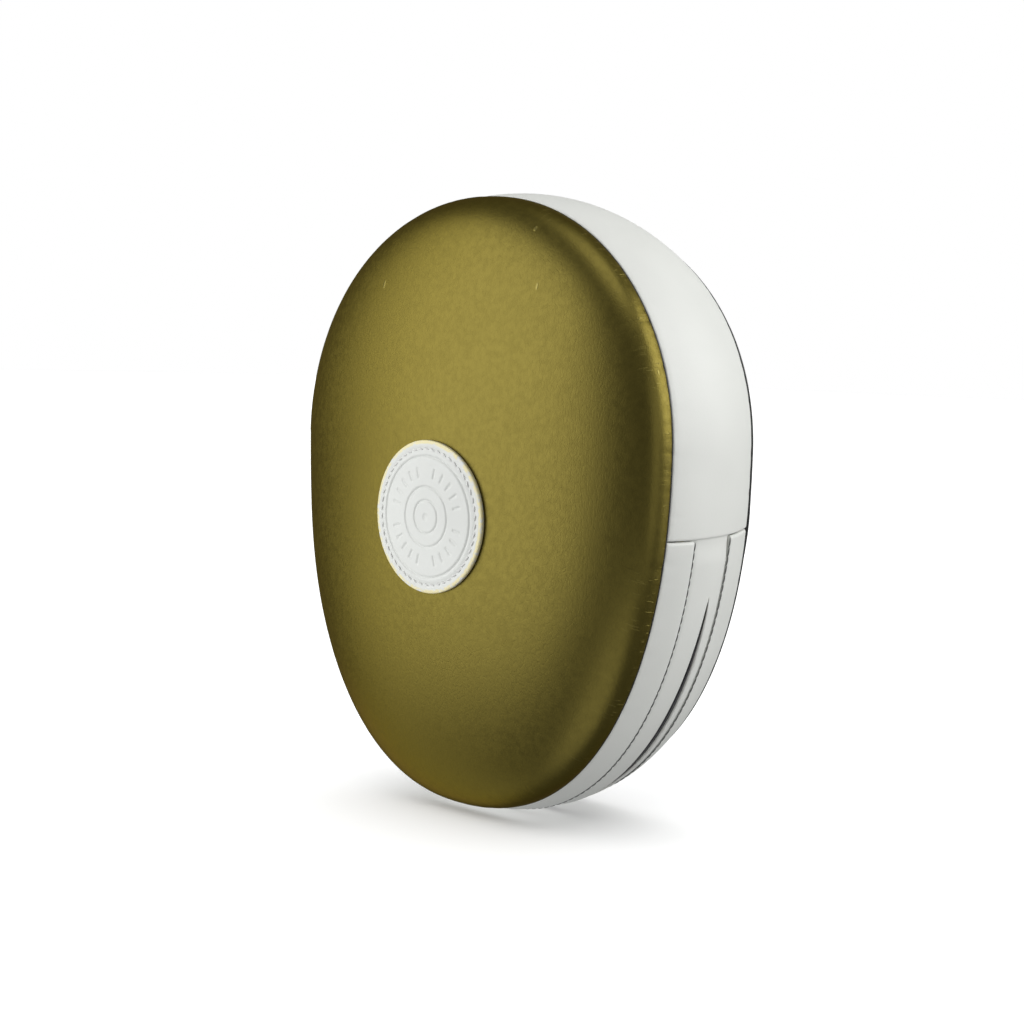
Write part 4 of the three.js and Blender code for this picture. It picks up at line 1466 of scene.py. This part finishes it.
# ---- Wrist strap ---------------------------------------------------------------------------------------------
def pad_patch(name, low, high, corner, material, edge, ripple=0.0):
    """A rounded rectangle in X and Z with rounded edges, between two depths. ripple is the height of ridges across
    its +Y side."""
    (x0, y0, z0), (x1, y1, z1) = low, high
    corners = (
        (x1 - corner, z1 - corner, 0),
        (x0 + corner, z1 - corner, 90),
        (x0 + corner, z0 + corner, 180),
        (x1 - corner, z0 + corner, 270),
    )
    middle = np.array([(x0 + x1) / 2, (z0 + z1) / 2])
    outline = []
    for (cx, cz, first), (nx, nz, _) in zip(corners, corners[1:] + corners[:1]):
        outline += corner_arc((cx, cz), corner, first, first + 90, 7)
        end = np.array(outline[-1])
        turn = math.radians(first + 90)
        following = np.array([nx, nz]) + corner * np.array([math.cos(turn), math.sin(turn)])
        steps = max(2, int(np.linalg.norm(following - end) / 1.5))
        outline += [tuple(end + (following - end) * k / steps) for k in range(1, steps)]
    outline = np.array(outline)
    half = np.array([x1 - x0, z1 - z0]) / 2
    rings = []
    for share in np.linspace(0, 1, 16)[1:]:
        rings.append((share * (1 - edge / half.min()), y1))
    for a in np.linspace(90, 0, 4)[1:]:
        turn = math.radians(a)
        rings.append((1 - edge / half.min() * (1 - math.cos(turn)), y1 - edge * (1 - math.sin(turn))))
    rings.append((1.0, y0 + edge * 0.5))
    rings.append((1 - 0.5 * edge / half.min(), y0))
    rings += [(share, y0) for share in (0.6, 0.2)]
    points = []
    for share, y in rings:
        place = middle + (outline - middle) * share
        wave = ripple * np.sin(place[:, 0] * 2 * np.pi / 3.3) if y > (y0 + y1) / 2 else 0.0
        points.append(np.stack([place[:, 0], np.full(len(place), y) + wave, place[:, 1]], axis=-1))
    count = len(outline)
    faces = quads(len(rings), count, wrap_columns=True)
    flat = np.concatenate(points)
    top = len(flat)
    flat = np.concatenate([flat, [[middle[0], y1, middle[1]], [middle[0], y0, middle[1]]]])
    faces += [(top, j, (j + 1) % count) for j in range(count)]
    last = (len(rings) - 1) * count
    faces += [(last + j, last + (j + 1) % count, top + 1) for j in range(count)]
    return make_piece(name, flat, faces, material, flat[:, [0, 2]])


def make_strap():
    """The wrist strap, from its sewn anchor to its pull tab, and the loop patch that it fastens to."""
    anchor_low, anchor_high = cad_box("strap_anchor")
    anchor = pad_patch("strap_anchor_patch", anchor_low, anchor_high, 2.5, black_leather, edge=0.6)
    paint(anchor, "wear", np.full(len(anchor.data.vertices), 0.15))
    attach(anchor, "black_leather", "wrist_flap", "strap_anchor")

    low, high = cad_box("strap_loop_patch")
    loop = pad_patch("loop_tape_patch", low, high, 3, loop_tape, edge=0.3)
    attach(loop, "hook_and_loop", "wrist_flap", "strap_loop_patch")
    inner_low, inner_high = low + 1.6, high - 1.6
    frame_line = (inner_low[0], inner_high[0], inner_low[2], inner_high[2])
    sewn = box_stitch("loop_tape_stitches", *frame_line, high[1] + 0.1, grey_thread, crossed=False)
    attach(sewn, "thread", "wrist_flap")
    low, high = cad_box("strap_hook_patch")
    hook = pad_patch("hook_tape_patch", low, high, 3, hook_tape, edge=0.25)
    attach(hook, "hook_and_loop", "wrist_strap", "strap_hook_patch")

    low, high = cad_box("wrist_strap")
    middle = (low[1] + high[1]) / 2
    thickness = high[1] - low[1] - 0.3
    rear = anchor_low[0] + 2.5
    path = np.array([(high[0], middle), (20, middle), (-20, middle), (low[0], middle), (rear, middle)])
    strap = ribbon("wrist_strap_webbing", path, low[2], high[2], thickness, black_webbing, edge=0.9)
    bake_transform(strap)
    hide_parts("wrist_strap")
    top = middle + thickness / 2 + 0.06
    for name, x0, x1, margin, body in (
        ("strap_anchor_stitches", rear + 2, anchor_high[0] - 2.5, 3, "wrist_flap"),
        ("strap_end_stitches", 21, 44, 4.5, "wrist_strap"),
    ):
        sewn = box_stitch(name, x0, x1, low[2] + margin, high[2] - margin, top, grey_thread)
        attach(sewn, "thread", body)

    low, high = cad_box("strap_pull_tab")
    tab = pad_patch("pull_tab_rubber", low, high, 4, tab_rubber, edge=0.6, ripple=0.3)
    attach(tab, "tab_rubber", "wrist_strap", "strap_pull_tab")


# ---- Camera, floor and light ---------------------------------------------------------------------------------
def aim(piece, back, roll_degrees=0.0):
    """Turns an object so that it looks against back."""
    back = Vector(back).normalized()
    turn = (-back).to_track_quat("-Z", "Y").to_matrix().to_4x4()
    place = Matrix.Translation(piece.location)
    piece.matrix_world = place @ turn @ Matrix.Rotation(math.radians(roll_degrees), 4, "Z")


def direction(azimuth, elevation):
    """The direction from the object to a viewer or lamp at an azimuth and an elevation."""
    a, e = math.radians(azimuth), math.radians(elevation)
    return Vector((math.sin(a) * math.cos(e), -math.cos(a) * math.cos(e), math.sin(e)))


CAMERA_AZIMUTH = 44.9
CAMERA_ELEVATION = 4.5
CAMERA_ROLL = 1.73
CAMERA_DISTANCE = 800
CAMERA_LENS = 71.5
AIM_RIGHT = 11.1  # from the egg's middle at the face seam, across and up the picture
AIM_UP = -27.25


def make_camera():
    data = bpy.data.cameras.new("camera")
    data.lens = CAMERA_LENS
    data.sensor_width = 36
    data.clip_start = 0.01
    camera = add_object("camera", data)
    bpy.context.scene.camera = camera
    back = direction(CAMERA_AZIMUTH, CAMERA_ELEVATION)
    right = Vector((math.cos(math.radians(CAMERA_AZIMUTH)), math.sin(math.radians(CAMERA_AZIMUTH)), 0))
    up = back.cross(right)
    roll = math.radians(CAMERA_ROLL)
    tilted_right = right * math.cos(roll) + up * math.sin(roll)
    tilted_up = up * math.cos(roll) - right * math.sin(roll)
    middle = Vector((0, FACE_SEAM_Y, WIDEST_Z))
    target = middle + tilted_right * AIM_RIGHT + tilted_up * AIM_UP
    camera.location = (target + back * CAMERA_DISTANCE) * MM
    aim(camera, back, CAMERA_ROLL)


def area_light(name, azimuth, elevation, distance, size, power):
    data = bpy.data.lights.new(name, "AREA")
    data.shape = "RECTANGLE"
    data.size, data.size_y = size
    data.energy = power
    lamp = add_object(name, data)
    back = direction(azimuth, elevation)
    lamp.location = back * distance + Vector((0, 0, 0.12))
    aim(lamp, back)
    return lamp


def make_stage():
    """The floor, which shows only from above, the camera's white surroundings and the lamps."""
    recipe = Recipe("floor", (0.93, 0.93, 0.925), 0.7)
    recipe.stain(recipe.noise(120, 2), 0.4, 0.7, 0.05, (0.85, 0.85, 0.85))
    below = recipe.node("ShaderNodeNewGeometry").outputs["Backfacing"]
    recipe.tree.links.new(recipe.math("SUBTRACT", 1.0, below), recipe.shader.inputs["Alpha"])
    far = 9000
    corners = [(-far, -far, 0), (far, -far, 0), (far, far, 0), (-far, far, 0)]
    floor = make_piece("floor", corners, [(0, 1, 2, 3)], recipe.finish())
    floor.location.z = -0.3 * MM
    floor.visible_diffuse = False
    floor.visible_glossy = False
    floor.visible_shadow = False

    only_floor = bpy.data.collections.new("only_floor")
    only_floor.objects.link(floor)
    for name, energy, casts in (("floor_shade", 2.0, True), ("floor_fill", 2.2, False)):
        sun_data = bpy.data.lights.new(name, "SUN")
        sun_data.energy = energy
        sun_data.angle = math.radians(100)
        sun_data.use_shadow = casts
        sun = add_object(name, sun_data)
        aim(sun, direction(225, 87))
        sun.light_linking.receiver_collection = only_floor
    all_but_floor = bpy.data.collections.new("all_but_floor")
    all_but_floor.objects.link(floor)
    all_but_floor.collection_objects[0].light_linking.link_state = "EXCLUDE"

    for lamp in (
        area_light("key", -37, 12, 1.5, (1.5, 1.8), 24),
        area_light("side", 128, 27, 1.6, (1.1, 1.3), 17),
        area_light("edge", 80, 5, 1.4, (0.7, 1.2), 2.2),
        area_light("rim", 132, -2, 1.4, (0.6, 0.7), 1.4),
        area_light("top", 60, 75, 1.5, (1.0, 1.0), 6),
        area_light("bounce", 35, -45, 1.2, (1.0, 1.0), 3),
        area_light("low", -75, -45, 1.2, (1.0, 1.0), 2.5),
    ):
        lamp.light_linking.receiver_collection = all_but_floor

    world = bpy.data.worlds.new("studio")
    bpy.context.scene.world = world
    world.use_nodes = True
    tree = world.node_tree
    tree.nodes.clear()
    output = tree.nodes.new("ShaderNodeOutputWorld")
    seen = tree.nodes.new("ShaderNodeBackground")
    seen.inputs["Color"].default_value = (1, 1, 1, 1)
    felt = tree.nodes.new("ShaderNodeBackground")
    felt.inputs["Color"].default_value = (0.95, 0.97, 1, 1)
    felt.inputs["Strength"].default_value = 0.16
    path = tree.nodes.new("ShaderNodeLightPath")
    mix = tree.nodes.new("ShaderNodeMixShader")
    tree.links.new(path.outputs["Is Camera Ray"], mix.inputs["Fac"])
    tree.links.new(felt.outputs[0], mix.inputs[1])
    tree.links.new(seen.outputs[0], mix.inputs[2])
    tree.links.new(mix.outputs[0], output.inputs[0])
    bpy.context.scene.view_settings.view_transform = "Standard"


make_camera()
make_face()
make_badge()
make_wall()
make_mouth()
make_wall_seams()
make_piping()
make_pad_layers()
make_grip()
make_loops()
make_back_stitches(*make_back_cover())
make_elastic()
make_strap()
make_stage()
